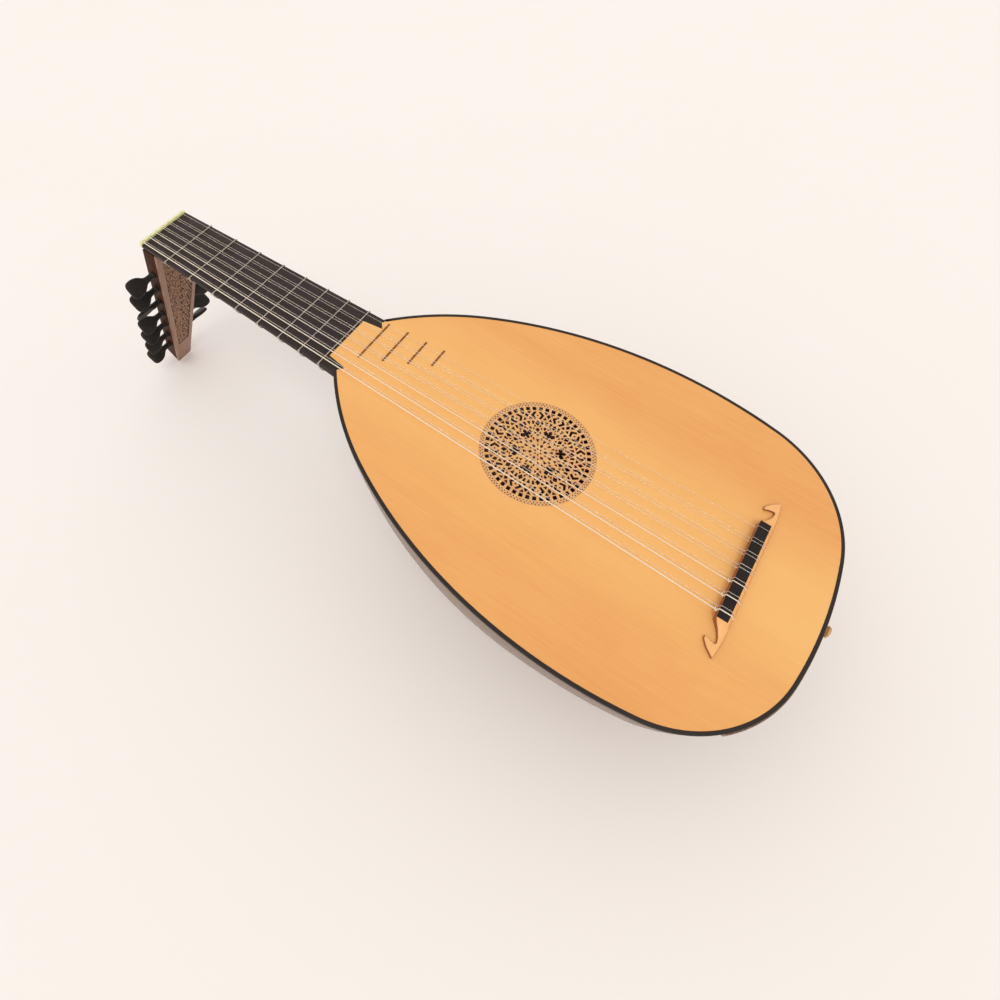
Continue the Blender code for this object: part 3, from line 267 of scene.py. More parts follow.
def grainVector(tree, grain):
    # grain is a turn for object coordinates, or the name of a stored attribute
    if isinstance(grain, str):
        read = place(tree, "ShaderNodeAttribute", attribute_name=grain)
        return read.outputs["Vector"]
    source = place(tree, "ShaderNodeTexCoord").outputs["Object"]
    turned = place(tree, "ShaderNodeMapping", {"Vector": source})
    turned.inputs["Rotation"].default_value = grain
    return turned.outputs[0]


def paintedSheenMiddle(tree, vector, colour, middle):
    # Painted sheen: the middle of the soundboard, under the strings, is drawn in a lighter colour
    across = place(tree, "ShaderNodeSeparateXYZ", {0: vector}).outputs[1]
    stray = place(tree, "ShaderNodeTexNoise", {"Vector": vector, "Scale": 9.0, "Detail": 3.0})
    reach = calc(tree, "ADD", calc(tree, "ABSOLUTE", across),
                 calc(tree, "MULTIPLY_ADD", stray.outputs["Fac"], 0.06, -0.03))
    share = place(tree, "ShaderNodeMapRange", {
        "Value": reach, "From Min": 0.085, "From Max": 0.02, "To Max": middle["amount"]})
    return place(tree, "ShaderNodeMix", {0: share.outputs[0], 6: colour, 7: middle["color"]},
                 data_type="RGBA").outputs[2]


def woodMaterial(name, settings):
    material, tree, shader = newMaterial(name)
    vector = grainVector(tree, settings["grain"])
    grain = place(tree, "ShaderNodeGroup", node_tree=grainGroup)
    tree.links.new(vector, grain.inputs["Vector"])
    labels = {"light": "Light", "dark": "Dark", "ringWidth": "Ring Width",
              "rings": "Ring Contrast", "streaks": "Streak Contrast", "bandWidth": "Band Width",
              "bands": "Band Contrast", "pores": "Pores", "gloss": "Gloss"}
    for key, label in labels.items():
        if key in settings:
            grain.inputs[label].default_value = settings[key]
    wearAndSheen = place(tree, "ShaderNodeGroup", {
        "Vector": vector, "Color": grain.outputs["Color"], "Worn And Sheen Color": settings["wornAndSheen"],
        "Patch Size": settings.get("patch", 0.06), "Amount": settings.get("wearAndSheen", 0.3)},
        node_tree=toneAndSheenGroup)
    colour = wearAndSheen.outputs["Color"]
    source = place(tree, "ShaderNodeTexCoord")
    # a lighter middle of the soundboard, which is painted sheen
    if "middle" in settings:
        colour = paintedSheenMiddle(tree, source.outputs["Object"], colour, settings["middle"])
    # painted shade: faces that stand up from the board take a darker colour
    if "wallShade" in settings:
        wallShade = place(tree, "ShaderNodeGroup", {"Normal": source.outputs["Normal"]},
                      node_tree=wallShadeGroup)
        wallShade.inputs["Up"].default_value = (math.sin(luteTilt), 0.0, math.cos(luteTilt))
        wallShade.inputs["Lean"].default_value = settings["lean"]
        colour = place(tree, "ShaderNodeMix", {
            0: wallShade.outputs["Mask"], 6: colour, 7: settings["wallShade"]},
            data_type="RGBA").outputs[2]
    tree.links.new(colour, shader.inputs["Base Color"])
    tree.links.new(grain.outputs["Roughness"], shader.inputs["Roughness"])
    bump = place(tree, "ShaderNodeBump", {
        "Strength": settings.get("relief", 0.15), "Distance": 0.0003,
        "Height": grain.outputs["Height"]})
    tree.links.new(bump.outputs[0], shader.inputs["Normal"])
    shader.inputs["Specular IOR Level"].default_value = settings.get("specular", 0.5)
    shader.inputs["Coat Weight"].default_value = settings.get("coat", 0.0)
    shader.inputs["Coat Roughness"].default_value = 0.25
    return material


woods = {
    "spruce": {"grain": neckGrain, "light": srgb(246, 182, 106), "dark": srgb(218, 136, 64),
               "wornAndSheen": srgb(226, 146, 72), "ringWidth": 0.0013, "rings": 0.34, "streaks": 0.7,
               "bandWidth": 0.05, "bands": 0.6, "gloss": 0.42, "wearAndSheen": 0.32, "patch": 0.14,
               "relief": 0.10, "coat": 0.15, "specular": 0.4,
               # painted sheen: a lighter colour in the middle of the board, under the strings
               "middle": {"color": srgb(251, 196, 116), "amount": 0.55}},
    "carvedSpruce": {"grain": neckGrain, "light": srgb(238, 192, 124), "dark": srgb(210, 152, 98),
                     "wornAndSheen": srgb(206, 138, 102), "ringWidth": 0.0013, "rings": 0.25,
                     "streaks": 0.5, "bands": 0.5, "gloss": 0.55, "wearAndSheen": 0.6, "patch": 0.005,
                     # painted shade on the rose's cut walls and chamfers
                     "specular": 0.3, "wallShade": srgb(158, 84, 64), "lean": 0.92},
    "ebony": {"grain": neckGrain, "light": srgb(54, 45, 39), "dark": srgb(30, 24, 21),
              "wornAndSheen": srgb(60, 49, 56), "ringWidth": 0.003, "rings": 0.1, "streaks": 0.9,
              "bandWidth": 0.012, "bands": 0.8, "pores": 0.3, "gloss": 0.42, "wearAndSheen": 0.6,
              "patch": 0.02, "specular": 0.2},
    "blackEdging": {"grain": neckGrain, "light": srgb(44, 35, 31), "dark": srgb(26, 21, 18),
                    "wornAndSheen": srgb(50, 42, 37), "ringWidth": 0.004, "rings": 0.1, "streaks": 0.5,
                    "gloss": 0.45, "wearAndSheen": 0.3, "specular": 0.25},
    # painted sheen: the pegs' worn colour is lighter than their wood, for the sheen on the heads
    "pegWood": {"grain": pegGrain, "light": srgb(30, 26, 24), "dark": srgb(14, 12, 11),
                "wornAndSheen": srgb(54, 46, 43), "ringWidth": 0.002, "rings": 0.1, "streaks": 0.5,
                "gloss": 0.38, "wearAndSheen": 0.5, "patch": 0.014, "specular": 0.22},
    "bowlWalnut": {"grain": "grain", "light": srgb(148, 114, 90), "dark": srgb(84, 60, 46),
                   "wornAndSheen": srgb(96, 70, 54), "ringWidth": 0.0035, "rings": 0.35,
                   "streaks": 0.9, "bandWidth": 0.02, "bands": 0.8, "pores": 0.5,
                   "gloss": 0.30, "wearAndSheen": 0.3, "coat": 0.25},
    "neckVeneer": {"grain": neckGrain, "light": srgb(52, 41, 35), "dark": srgb(30, 23, 20),
                   "wornAndSheen": srgb(44, 34, 30), "ringWidth": 0.003, "rings": 0.2, "streaks": 0.9,
                   "bandWidth": 0.015, "bands": 0.5, "pores": 0.4, "gloss": 0.5,
                   "wearAndSheen": 0.3, "specular": 0.2},
    # painted shade: the cheeks and the foot get a walnut much darker than the back plate, for the
    # shade on their sides
    "shadedCheekWalnut": {"grain": pegboxGrain, "light": srgb(74, 42, 25), "dark": srgb(32, 19, 13),
                    "wornAndSheen": srgb(110, 58, 30), "ringWidth": 0.0026, "rings": 0.35,
                    "streaks": 0.9, "bandWidth": 0.012, "bands": 0.6, "pores": 0.5,
                    "gloss": 0.6, "wearAndSheen": 0.5, "patch": 0.03, "specular": 0.1},
    "backWalnut": {"grain": pegboxGrain, "light": srgb(164, 124, 102), "dark": srgb(116, 82, 66),
                   "wornAndSheen": srgb(136, 94, 74), "ringWidth": 0.0026, "rings": 0.3,
                   "streaks": 0.8, "bands": 0.5, "pores": 0.4, "gloss": 0.42, "wearAndSheen": 0.3},
    # painted highlight: the carved leaves and stems are a lighter copy of the pegbox walnut
    "carvedLeavesHighlight": {"grain": pegboxGrain, "light": srgb(192, 148, 118), "dark": srgb(122, 86, 64),
                     "wornAndSheen": srgb(102, 68, 52), "ringWidth": 0.002, "rings": 0.3,
                     "streaks": 0.8, "gloss": 0.42, "wearAndSheen": 0.5, "patch": 0.004},
    # painted shade: the ground of the carving is a much darker copy of the pegbox walnut
    "carvedGroundShade": {"grain": pegboxGrain, "light": srgb(70, 46, 37), "dark": srgb(44, 29, 23),
                     "wornAndSheen": srgb(38, 24, 19), "ringWidth": 0.002, "rings": 0.3,
                     "streaks": 0.6, "gloss": 0.6, "wearAndSheen": 0.5, "patch": 0.008},
    "bridgePear": {"grain": crossGrain, "light": srgb(250, 188, 114), "dark": srgb(236, 166, 98),
                   "wornAndSheen": srgb(240, 170, 108), "ringWidth": 0.002, "rings": 0.2, "streaks": 0.7,
                   "bands": 0.5, "gloss": 0.42, "wearAndSheen": 0.4, "patch": 0.008, "coat": 0.1,
                   # painted shade on the bridge's standing walls
                   "wallShade": srgb(158, 92, 56), "lean": 0.6},
    "fretWood": {"grain": crossGrain, "light": srgb(150, 94, 46), "dark": srgb(104, 60, 26),
                 "wornAndSheen": srgb(92, 52, 24), "ringWidth": 0.001, "rings": 0.3, "streaks": 0.9,
                 "gloss": 0.5, "wearAndSheen": 0.4, "patch": 0.004, "specular": 0.25},
    "blockWood": {"grain": neckGrain, "light": srgb(214, 176, 130), "dark": srgb(170, 128, 86),
                  "wornAndSheen": srgb(160, 120, 84), "ringWidth": 0.002, "rings": 0.3, "streaks": 0.6,
                  "gloss": 0.6, "wearAndSheen": 0.3},
    "buttonWood": {"grain": neckGrain, "light": srgb(214, 172, 104), "dark": srgb(176, 128, 68),
                   "wornAndSheen": srgb(160, 112, 60), "ringWidth": 0.0016, "rings": 0.3,
                   "streaks": 0.6, "gloss": 0.35, "wearAndSheen": 0.3, "patch": 0.006, "coat": 0.2},
}
woods["claspWalnut"] = {**woods["bowlWalnut"], "grain": crossGrain}
woods["scrollPear"] = {**woods["bridgePear"], "lean": 0.93}     # painted shade: a dark line along its edges
woods["capEbony"] = {**woods["ebony"], "light": srgb(34, 27, 23), "dark": srgb(18, 14, 12),
                     "wornAndSheen": srgb(40, 32, 30), "gloss": 0.5}
finish = {name: woodMaterial(name, settings) for name, settings in woods.items()}


def cordMaterial(name, settings):
    # Gut or wound string: colour varies in short lengths, with a faint ring relief
    material, tree, shader = newMaterial(name, settings["roughness"])
    shader.inputs["Transmission Weight"].default_value = settings["clear"]
    shader.inputs["IOR"].default_value = 1.1
    source = place(tree, "ShaderNodeTexCoord").outputs["Object"]
    wearAndSheen = place(tree, "ShaderNodeGroup", {
        "Vector": source, "Color": settings["color"], "Worn And Sheen Color": settings["wornAndSheen"],
        "Patch Size": settings["patch"], "Amount": 0.7}, node_tree=toneAndSheenGroup)
    tree.links.new(wearAndSheen.outputs["Color"], shader.inputs["Base Color"])
    turned = place(tree, "ShaderNodeMapping", {"Vector": source})
    turned.inputs["Rotation"].default_value = (0.0, -luteTilt, 0.35)
    ridges = place(tree, "ShaderNodeTexWave", {
        "Vector": turned.outputs[0], "Scale": settings["ridgeScale"], "Distortion": 0.5},
        bands_direction="X")
    bump = place(tree, "ShaderNodeBump", {
        "Strength": 0.12, "Distance": 0.0001, "Height": ridges.outputs["Fac"]})
    tree.links.new(bump.outputs[0], shader.inputs["Normal"])
    return material


cords = {
    "clearGut": {"color": srgb(250, 241, 228), "wornAndSheen": srgb(242, 230, 216), "patch": 0.004,
                 "roughness": 0.3, "ridgeScale": 500.0, "clear": 0.64},
    "whiteBass": {"color": srgb(255, 243, 222), "wornAndSheen": srgb(254, 236, 210), "patch": 0.003,
                  "roughness": 0.35, "ridgeScale": 700.0, "clear": 0.18},
    "fretGut": {"color": srgb(220, 208, 192), "wornAndSheen": srgb(190, 174, 158), "patch": 0.006,
                "roughness": 0.4, "ridgeScale": 420.0, "clear": 0.38},
}
for cordName, cordSettings in cords.items():
    finish[cordName] = cordMaterial(cordName, cordSettings)


def makeBone():
    material, tree, shader = newMaterial("oldBone", 0.35)
    vector = grainVector(tree, neckGrain)
    stretch = place(tree, "ShaderNodeVectorMath", {0: vector, 1: (400.0, 90.0, 400.0)},
                    operation="MULTIPLY")
    veins = place(tree, "ShaderNodeTexNoise", {
        "Vector": stretch.outputs[0], "Scale": 1.0, "Detail": 3.0})
    mixed = place(tree, "ShaderNodeMix", {
        0: veins.outputs["Fac"], 6: srgb(240, 234, 176), 7: srgb(232, 226, 164)},
        data_type="RGBA")
    tree.links.new(mixed.outputs[2], shader.inputs["Base Color"])
    return material


finish["oldBone"] = makeBone()
print("finishes made:", len(finish))


# Pieces are linked through these
def addPiece(name, mesh, material, body, replaced=(), carry=True):
    if carry:
        mesh.transform(luteToRow)
    piece = bpy.data.objects.new(name, mesh)
    mesh.name = name
    bpy.context.scene.collection.objects.link(piece)
    piece.data.materials.clear()
    piece.data.materials.append(material)
    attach(piece, body)
    if replaced:
        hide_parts(*replaced)
    return piece


def meshFrom(bm, smoothAngle=None):
    bmesh.ops.remove_doubles(bm, verts=bm.verts, dist=1e-6)
    bmesh.ops.recalc_face_normals(bm, faces=bm.faces)
    mesh = bpy.data.meshes.new("part")
    bm.to_mesh(mesh)
    bm.free()
    if smoothAngle is not None:
        mesh.shade_smooth()
        mesh.set_sharp_from_angle(angle=math.radians(smoothAngle))
    return mesh


def loft(sections, bm=None, caps=True, ringClosed=True):
    bm = bm or bmesh.new()
    rings = [[bm.verts.new(p) for p in ring] for ring in sections]
    count = len(rings[0]) if ringClosed else len(rings[0]) - 1
    for first, second in zip(rings, rings[1:]):
        for i in range(count):
            j = (i + 1) % len(first)
            bm.faces.new((first[i], first[j], second[j], second[i]))
    if caps:
        bm.faces.new(rings[0])
        bm.faces.new(list(reversed(rings[-1])))
    return bm


def evaluatedMesh(mesh, modifiers):
    # modifiers are (kind, settings) pairs; a node tree's inputs are set by identifier
    scratch = bpy.data.objects.new("scratch", mesh)
    bpy.context.scene.collection.objects.link(scratch)
    for kind, settings in modifiers:
        step = scratch.modifiers.new(kind, kind)
        if kind == "NODES":
            step.node_group = settings["tree"]
            for item in settings["tree"].interface.items_tree:
                if item.name in settings and item.in_out == "INPUT":
                    step[item.identifier] = settings[item.name]
        else:
            for key, value in settings.items():
                setattr(step, key, value)
    bpy.context.view_layer.update()
    evaluated = scratch.evaluated_get(bpy.context.evaluated_depsgraph_get())
    result = bpy.data.meshes.new_from_object(evaluated)
    scratch.modifiers.clear()
    bpy.data.objects.remove(scratch, do_unlink=True)
    return result


def bevelled(bm, width, segments=2, angle=30.0, smoothAngle=40.0):
    mesh = meshFrom(bm)
    mesh = evaluatedMesh(mesh, [("BEVEL", {
        "width": width, "segments": segments, "limit_method": "ANGLE",
        "angle_limit": math.radians(angle), "use_clamp_overlap": True})])
    mesh.shade_smooth()
    mesh.set_sharp_from_angle(angle=math.radians(smoothAngle))
    return mesh


def isInside(point, loop):
    inside = False
    for a, b in zip(loop, loop[1:] + loop[:1]):
        if (a[1] > point[1]) != (b[1] > point[1]):
            if point[0] < a[0] + (b[0] - a[0]) * (point[1] - a[1]) / (b[1] - a[1]):
                inside = not inside
    return inside


def plate(loops, low, high):
    # A flat plate between an outer loop and the holes in it
    points, edges = [], []
    for loop in loops:
        first = len(points)
        points += [Vector(p) for p in loop]
        edges += [(first + i, first + (i + 1) % len(loop)) for i in range(len(loop))]
    found, _, faces, _, _, _ = delaunay_2d_cdt(points, edges, [], 0, 1e-7)
    bm = bmesh.new()
    upper = [bm.verts.new((p.x, p.y, high)) for p in found]
    lower = [bm.verts.new((p.x, p.y, low)) for p in found]
    for face in faces:
        middle = sum((found[i] for i in face), Vector((0.0, 0.0))) / 3.0
        if sum(isInside(middle, loop) for loop in loops) == 1:
            bm.faces.new([upper[i] for i in face])
            bm.faces.new([lower[i] for i in reversed(face)])
    for edge in [e for e in bm.edges if e.is_boundary and e.verts[0].co.z > (low + high) / 2.0]:
        a, b = edge.verts
        bm.faces.new((a, b, lower[upper.index(b)], lower[upper.index(a)]))
    return bm


# Geometry node trees
def newGeometryTree(name, sizes):
    tree = bpy.data.node_groups.new(name, "GeometryNodeTree")
    tree.interface.new_socket("Geometry", in_out="INPUT", socket_type="NodeSocketGeometry")
    for label, kind, value in sizes:
        socket = tree.interface.new_socket(label, in_out="INPUT", socket_type="NodeSocket" + kind)
        if value is not None:
            socket.default_value = value
    tree.interface.new_socket("Geometry", in_out="OUTPUT", socket_type="NodeSocketGeometry")
    return tree, tree.nodes.new("NodeGroupInput"), tree.nodes.new("NodeGroupOutput")


def closeTree(tree, geometry, material, end):
    real = place(tree, "GeometryNodeRealizeInstances", {0: geometry})
    painted = place(tree, "GeometryNodeSetMaterial", {0: real.outputs[0], "Material": material})
    tree.links.new(painted.outputs[0], end.inputs[0])


def makeCordTree():
    # A round cord along each line of edges; the attribute thickness is its radius
    tree, start, end = newGeometryTree("cordAlongPath", [
        ("Sides", "Int", 10), ("Material", "Material", None)])
    line = place(tree, "GeometryNodeMeshToCurve", {0: start.outputs[0]})
    radius = place(tree, "GeometryNodeInputNamedAttribute", {"Name": "thickness"},
                   data_type="FLOAT")
    ring = place(tree, "GeometryNodeCurvePrimitiveCircle", {
        "Resolution": start.outputs["Sides"], "Radius": 1.0})
    body = place(tree, "GeometryNodeCurveToMesh", {
        "Curve": line.outputs[0], "Profile Curve": ring.outputs[0],
        "Scale": radius.outputs["Attribute"], "Fill Caps": True})
    smooth = place(tree, "GeometryNodeSetShadeSmooth", {0: body.outputs[0]})
    closeTree(tree, smooth.outputs[0], start.outputs["Material"], end)
    return tree


cordTree = makeCordTree()


def cordMesh(lines, material, sides=10):
    # lines are (points, radii) pairs; radii may be one number
    points, edges, radii = [], [], []
    for path, radius in lines:
        first = len(points)
        points += [tuple(p) for p in path]
        edges += [(first + i, first + i + 1) for i in range(len(path) - 1)]
        radii += list(radius) if hasattr(radius, "__len__") else [radius] * len(path)
    mesh = bpy.data.meshes.new("path")
    mesh.from_pydata(points, edges, [])
    store = mesh.attributes.new("thickness", "FLOAT", "POINT")
    store.data.foreach_set("value", radii)
    return evaluatedMesh(mesh, [("NODES", {"tree": cordTree, "Sides": sides,
                                           "Material": material})])


# The outline of the body and its bowl
gap = 0.0003
boardThickness = 0.0022
neckTop = -(boardThickness + gap)
bodyShape = {
    "endX": 0.6652,
    "radii": (0.3398, 0.1024, 0.4122, 0.2507),
    "ends": [math.radians(a) for a in (9.2, 80.3, 118.7)],
    "edgingWidth": 0.0026,
    "edgingOverhang": 0.0003,
    "edgingRise": 0.0002,
    "stepAngle": math.radians(1.6),
}
neckShape = {"nutHalf": 0.0285, "bodyHalf": 0.0362, "nutDepth": 0.0165, "bodyDepth": 0.0285,
             "tongue": 0.0035}


def arcCentres():
    radii = bodyShape["radii"]
    centres = [Vector((bodyShape["endX"] - radii[0], 0.0))]
    for end, before, after in zip(bodyShape["ends"], radii, radii[1:]):
        centres.append(centres[-1] + Vector((math.cos(end), math.sin(end))) * (before - after))
    return centres


centres = arcCentres()
throatRadius = bodyShape["radii"][3]
neckJointAngle = math.pi - math.asin((neckShape["bodyHalf"] - centres[3].y) / throatRadius)
neckJointX = centres[3].x + throatRadius * math.cos(neckJointAngle)


def outlinePoint(angle, offset=0.0):
    index = sum(1 for end in bodyShape["ends"] if angle > end)
    reach = bodyShape["radii"][index] + offset
    return centres[index] + Vector((math.cos(angle), math.sin(angle))) * reach


def halfOutline(offset, startAngle, endX):
    # Points from the tail to the line at endX, with the joints of the arcs among them
    last = math.acos((endX - centres[3].x) / (throatRadius + offset))
    stops = [startAngle, *bodyShape["ends"], last]
    angles = [startAngle]
    for low, high in zip(stops, stops[1:]):
        count = max(1, round((high - low) / bodyShape["stepAngle"]))
        angles += [low + (high - low) * (k + 1) / count for k in range(count)]
    return [outlinePoint(angle, offset) for angle in angles]


def wholeOutline(offset, endX):
    half = halfOutline(offset, 0.0, endX)
    return [(p.x, -p.y) for p in reversed(half[1:])] + [(p.x, p.y) for p in half]


bowlShape = {
    "depth": 0.142,
    "ribs": 9,
    "wall": 0.0018,
    "tailRadius": 0.012,
    "bulge": 0.0007,
    "swell": 0.06,
    "acrossCount": 9,
    "seam": 0.00008,
}
widest = outlinePoint(math.pi / 2.0)
fullRatio = bowlShape["depth"] / widest.y
throatRatio = neckShape["bodyDepth"] / neckShape["bodyHalf"]


def depthRatio(x):
    share = max(0.0, (widest.x - x) / (widest.x - neckJointX))
    return fullRatio + (throatRatio - fullRatio) * share ** 3


def makeRibTree():
    # A sheet between two seams: row i follows the outline, column j turns round the bowl
    tree, start, end = newGeometryTree("bentRib", [
        ("Rows", "Int", 10), ("Columns", "Int", 9), ("Low Turn", "Float", 0.0),
        ("High Turn", "Float", 0.3), ("Seam", "Float", 0.0001), ("Bulge", "Float", 0.0005),
        ("Top", "Float", 0.0), ("Full Ratio", "Float", 1.0), ("Throat Ratio", "Float", 0.8),
        ("Widest X", "Float", 0.4), ("Neck X", "Float", 0.2), ("Swell", "Float", 0.0),
        ("Material", "Material", None)])
    pick = start.outputs
    sheet = place(tree, "GeometryNodeMeshGrid", {
        "Size X": 1.0, "Size Y": 1.0, "Vertices X": pick["Rows"],
        "Vertices Y": pick["Columns"]})
    index = place(tree, "GeometryNodeInputIndex").outputs[0]
    row = calc(tree, "FLOOR", calc(tree, "DIVIDE", index, pick["Columns"]))
    column = calc(tree, "MODULO", index, pick["Columns"])
    share = calc(tree, "DIVIDE", column, calc(tree, "SUBTRACT", pick["Columns"], 1.0))
    spot = place(tree, "GeometryNodeInputPosition").outputs[0]
    flat = place(tree, "GeometryNodeSampleIndex", data_type="FLOAT_VECTOR", domain="POINT")
    tree.links.new(pick["Geometry"], flat.inputs["Geometry"])
    tree.links.new(spot, flat.inputs["Value"])
    tree.links.new(row, flat.inputs["Index"])
    parts = place(tree, "ShaderNodeSeparateXYZ", {0: flat.outputs[0]}).outputs
    x, half = parts[0], parts[1]
    slide = calc(tree, "DIVIDE", pick["Seam"], calc(tree, "MAXIMUM", half, 0.0001))
    low = calc(tree, "ADD", pick["Low Turn"], slide)
    high = calc(tree, "SUBTRACT", pick["High Turn"], slide)
    turn = calc(tree, "ADD", low, calc(tree, "MULTIPLY", calc(tree, "SUBTRACT", high, low), share))
    reachShare = calc(tree, "DIVIDE", calc(tree, "SUBTRACT", pick["Widest X"], x),
                      calc(tree, "SUBTRACT", pick["Widest X"], pick["Neck X"]))
    cubed = calc(tree, "POWER", calc(tree, "MAXIMUM", reachShare, 0.0), 3.0)
    ratio = calc(tree, "MULTIPLY_ADD", cubed,
                 calc(tree, "SUBTRACT", pick["Throat Ratio"], pick["Full Ratio"]),
                 pick["Full Ratio"])
    # a little fuller below the rim, between the widest place and the neck
    hump = calc(tree, "MULTIPLY", reachShare, calc(tree, "SUBTRACT", 1.0, reachShare))
    hump = calc(tree, "MULTIPLY", calc(tree, "MAXIMUM", hump, 0.0), 4.0)
    swell = calc(tree, "MULTIPLY", hump, pick["Swell"])

    def reachAt(angle):
        cosine = calc(tree, "COSINE", angle)
        near = calc(tree, "POWER", calc(tree, "ABSOLUTE", cosine), 4.0)
        full = calc(tree, "MULTIPLY", calc(tree, "MULTIPLY", swell, near),
                    calc(tree, "SINE", angle))
        return calc(tree, "MULTIPLY_ADD", cosine, full, cosine)

    # flat across like a planed strip, then crowned a little
    chordCos = calc(tree, "ADD", reachAt(low), calc(tree, "MULTIPLY", share,
                    calc(tree, "SUBTRACT", reachAt(high), reachAt(low))))
    chordSin = calc(tree, "ADD", calc(tree, "SINE", low), calc(tree, "MULTIPLY", share,
                    calc(tree, "SUBTRACT", calc(tree, "SINE", high), calc(tree, "SINE", low))))
    crown = calc(tree, "MULTIPLY", pick["Bulge"],
                 calc(tree, "SINE", calc(tree, "MULTIPLY", share, math.pi)))
    fade = calc(tree, "MINIMUM", calc(tree, "MULTIPLY", half, 12.0), 1.0)
    crown = calc(tree, "MULTIPLY", crown, fade)
    y = calc(tree, "ADD", calc(tree, "MULTIPLY", half, chordCos),
             calc(tree, "MULTIPLY", crown, calc(tree, "COSINE", turn)))
    drop = calc(tree, "MULTIPLY", calc(tree, "MULTIPLY", half, ratio), chordSin)
    z = calc(tree, "SUBTRACT", pick["Top"],
             calc(tree, "ADD", drop, calc(tree, "MULTIPLY", crown, calc(tree, "SINE", turn))))
    where = place(tree, "ShaderNodeCombineXYZ", {0: x, 1: y, 2: z}).outputs[0]
    moved = place(tree, "GeometryNodeSetPosition", {0: sheet.outputs[0], "Position": where})
    middle = calc(tree, "MULTIPLY_ADD", calc(tree, "ADD", low, high), -0.5, turn)
    across = calc(tree, "MULTIPLY", half, middle)
    strip = place(tree, "ShaderNodeCombineXYZ", {0: x, 1: across, 2: pick["Low Turn"]})
    stored = place(tree, "GeometryNodeStoreNamedAttribute", {0: moved.outputs[0]},
                   data_type="FLOAT_VECTOR", domain="POINT")
    stored.inputs["Name"].default_value = "grain"
    tree.links.new(strip.outputs[0], stored.inputs["Value"])
    closeTree(tree, stored.outputs[0], pick["Material"], end)
    return tree


def makeBowl():
    tree = makeRibTree()
    angle = math.asin(bowlShape["tailRadius"] / bodyShape["radii"][0])
    half = halfOutline(0.0, angle, neckJointX)
    for index in range(bowlShape["ribs"]):
        base = bpy.data.meshes.new("halfOutline")
        base.from_pydata([(p.x, p.y, 0.0) for p in half], [], [])
        mesh = evaluatedMesh(base, [
            ("NODES", {"tree": tree, "Rows": len(half), "Columns": bowlShape["acrossCount"],
                       "Low Turn": math.pi * index / bowlShape["ribs"],
                       "High Turn": math.pi * (index + 1) / bowlShape["ribs"],
                       "Seam": bowlShape["seam"], "Bulge": bowlShape["bulge"], "Top": neckTop,
                       "Full Ratio": fullRatio, "Throat Ratio": throatRatio,
                       "Widest X": widest.x, "Neck X": neckJointX,
                       "Swell": bowlShape["swell"],
                       "Material": finish["bowlWalnut"]})])
        bm = bmesh.new()
        bm.from_mesh(mesh)
        middle = Vector((widest.x, 0.0, neckTop))
        face = max(bm.faces, key=lambda f: f.calc_area())
        if face.normal.dot(face.calc_center_median() - middle) < 0.0:
            bmesh.ops.reverse_faces(bm, faces=bm.faces)
        bm.to_mesh(mesh)
        bm.free()
        mesh = evaluatedMesh(mesh, [("SOLIDIFY", {"thickness": bowlShape["wall"], "offset": -1.0}),
                                    ("BEVEL", {"width": 0.00035, "segments": 2,
                                               "limit_method": "ANGLE",
                                               "angle_limit": math.radians(50.0)})])
        mesh.shade_smooth()
        mesh.set_sharp_from_angle(angle=math.radians(45.0))
        addPiece("bowlRib%d" % (index + 1), mesh, finish["bowlWalnut"], "root",
                 ["rib_%d" % (index + 1)])


makeBowl()
print("bowl made")


# The clasp over the ends of the ribs, and the end button
claspShape = {"gap": 0.0005, "thickness": 0.0010, "height": 0.026, "endHeight": 0.007,
              "endAngle": math.radians(46.0), "columns": 61, "levels": 6}
buttonShape = {"drop": 0.0068, "stemRadius": 0.0024, "stemLength": 0.013, "radius": 0.0047,
               "length": 0.0050, "sides": 48}


def tailSurfaceX(y, z, offset):
    half = math.hypot(y, (neckTop - z) / depthRatio(bodyShape["endX"]))
    radii = bodyShape["radii"]
    edge = outlinePoint(bodyShape["ends"][0], offset)
    if half <= edge.y:
        return centres[0].x + math.sqrt((radii[0] + offset) ** 2 - half ** 2)
    reach = radii[1] + offset
    return centres[1].x + math.sqrt(reach ** 2 - (half - centres[1].y) ** 2)


def makeClasp():
    widestY = outlinePoint(claspShape["endAngle"]).y
    outer = claspShape["gap"] + claspShape["thickness"]
    sections = []
    for k in range(claspShape["columns"]):
        across = -1.0 + 2.0 * k / (claspShape["columns"] - 1)
        y = widestY * math.sin(across * math.pi / 2.0)
        share = math.cos(math.pi / 2.0 * y / widestY) ** 2
        height = claspShape["endHeight"] + (claspShape["height"] - claspShape["endHeight"]) * share
        levels = [neckTop - height * n / claspShape["levels"]
                  for n in range(claspShape["levels"] + 1)]
        ring = [Vector((tailSurfaceX(y, z, outer), y, z)) for z in levels]
        ring += [Vector((tailSurfaceX(y, z, claspShape["gap"] * 0.2), y, z))
                 for z in reversed(levels)]
        sections.append(ring)
    mesh = bevelled(loft(sections), 0.0004, 2, 40.0)
    addPiece("tailClasp", mesh, finish["claspWalnut"], "root", ["end_clasp"])


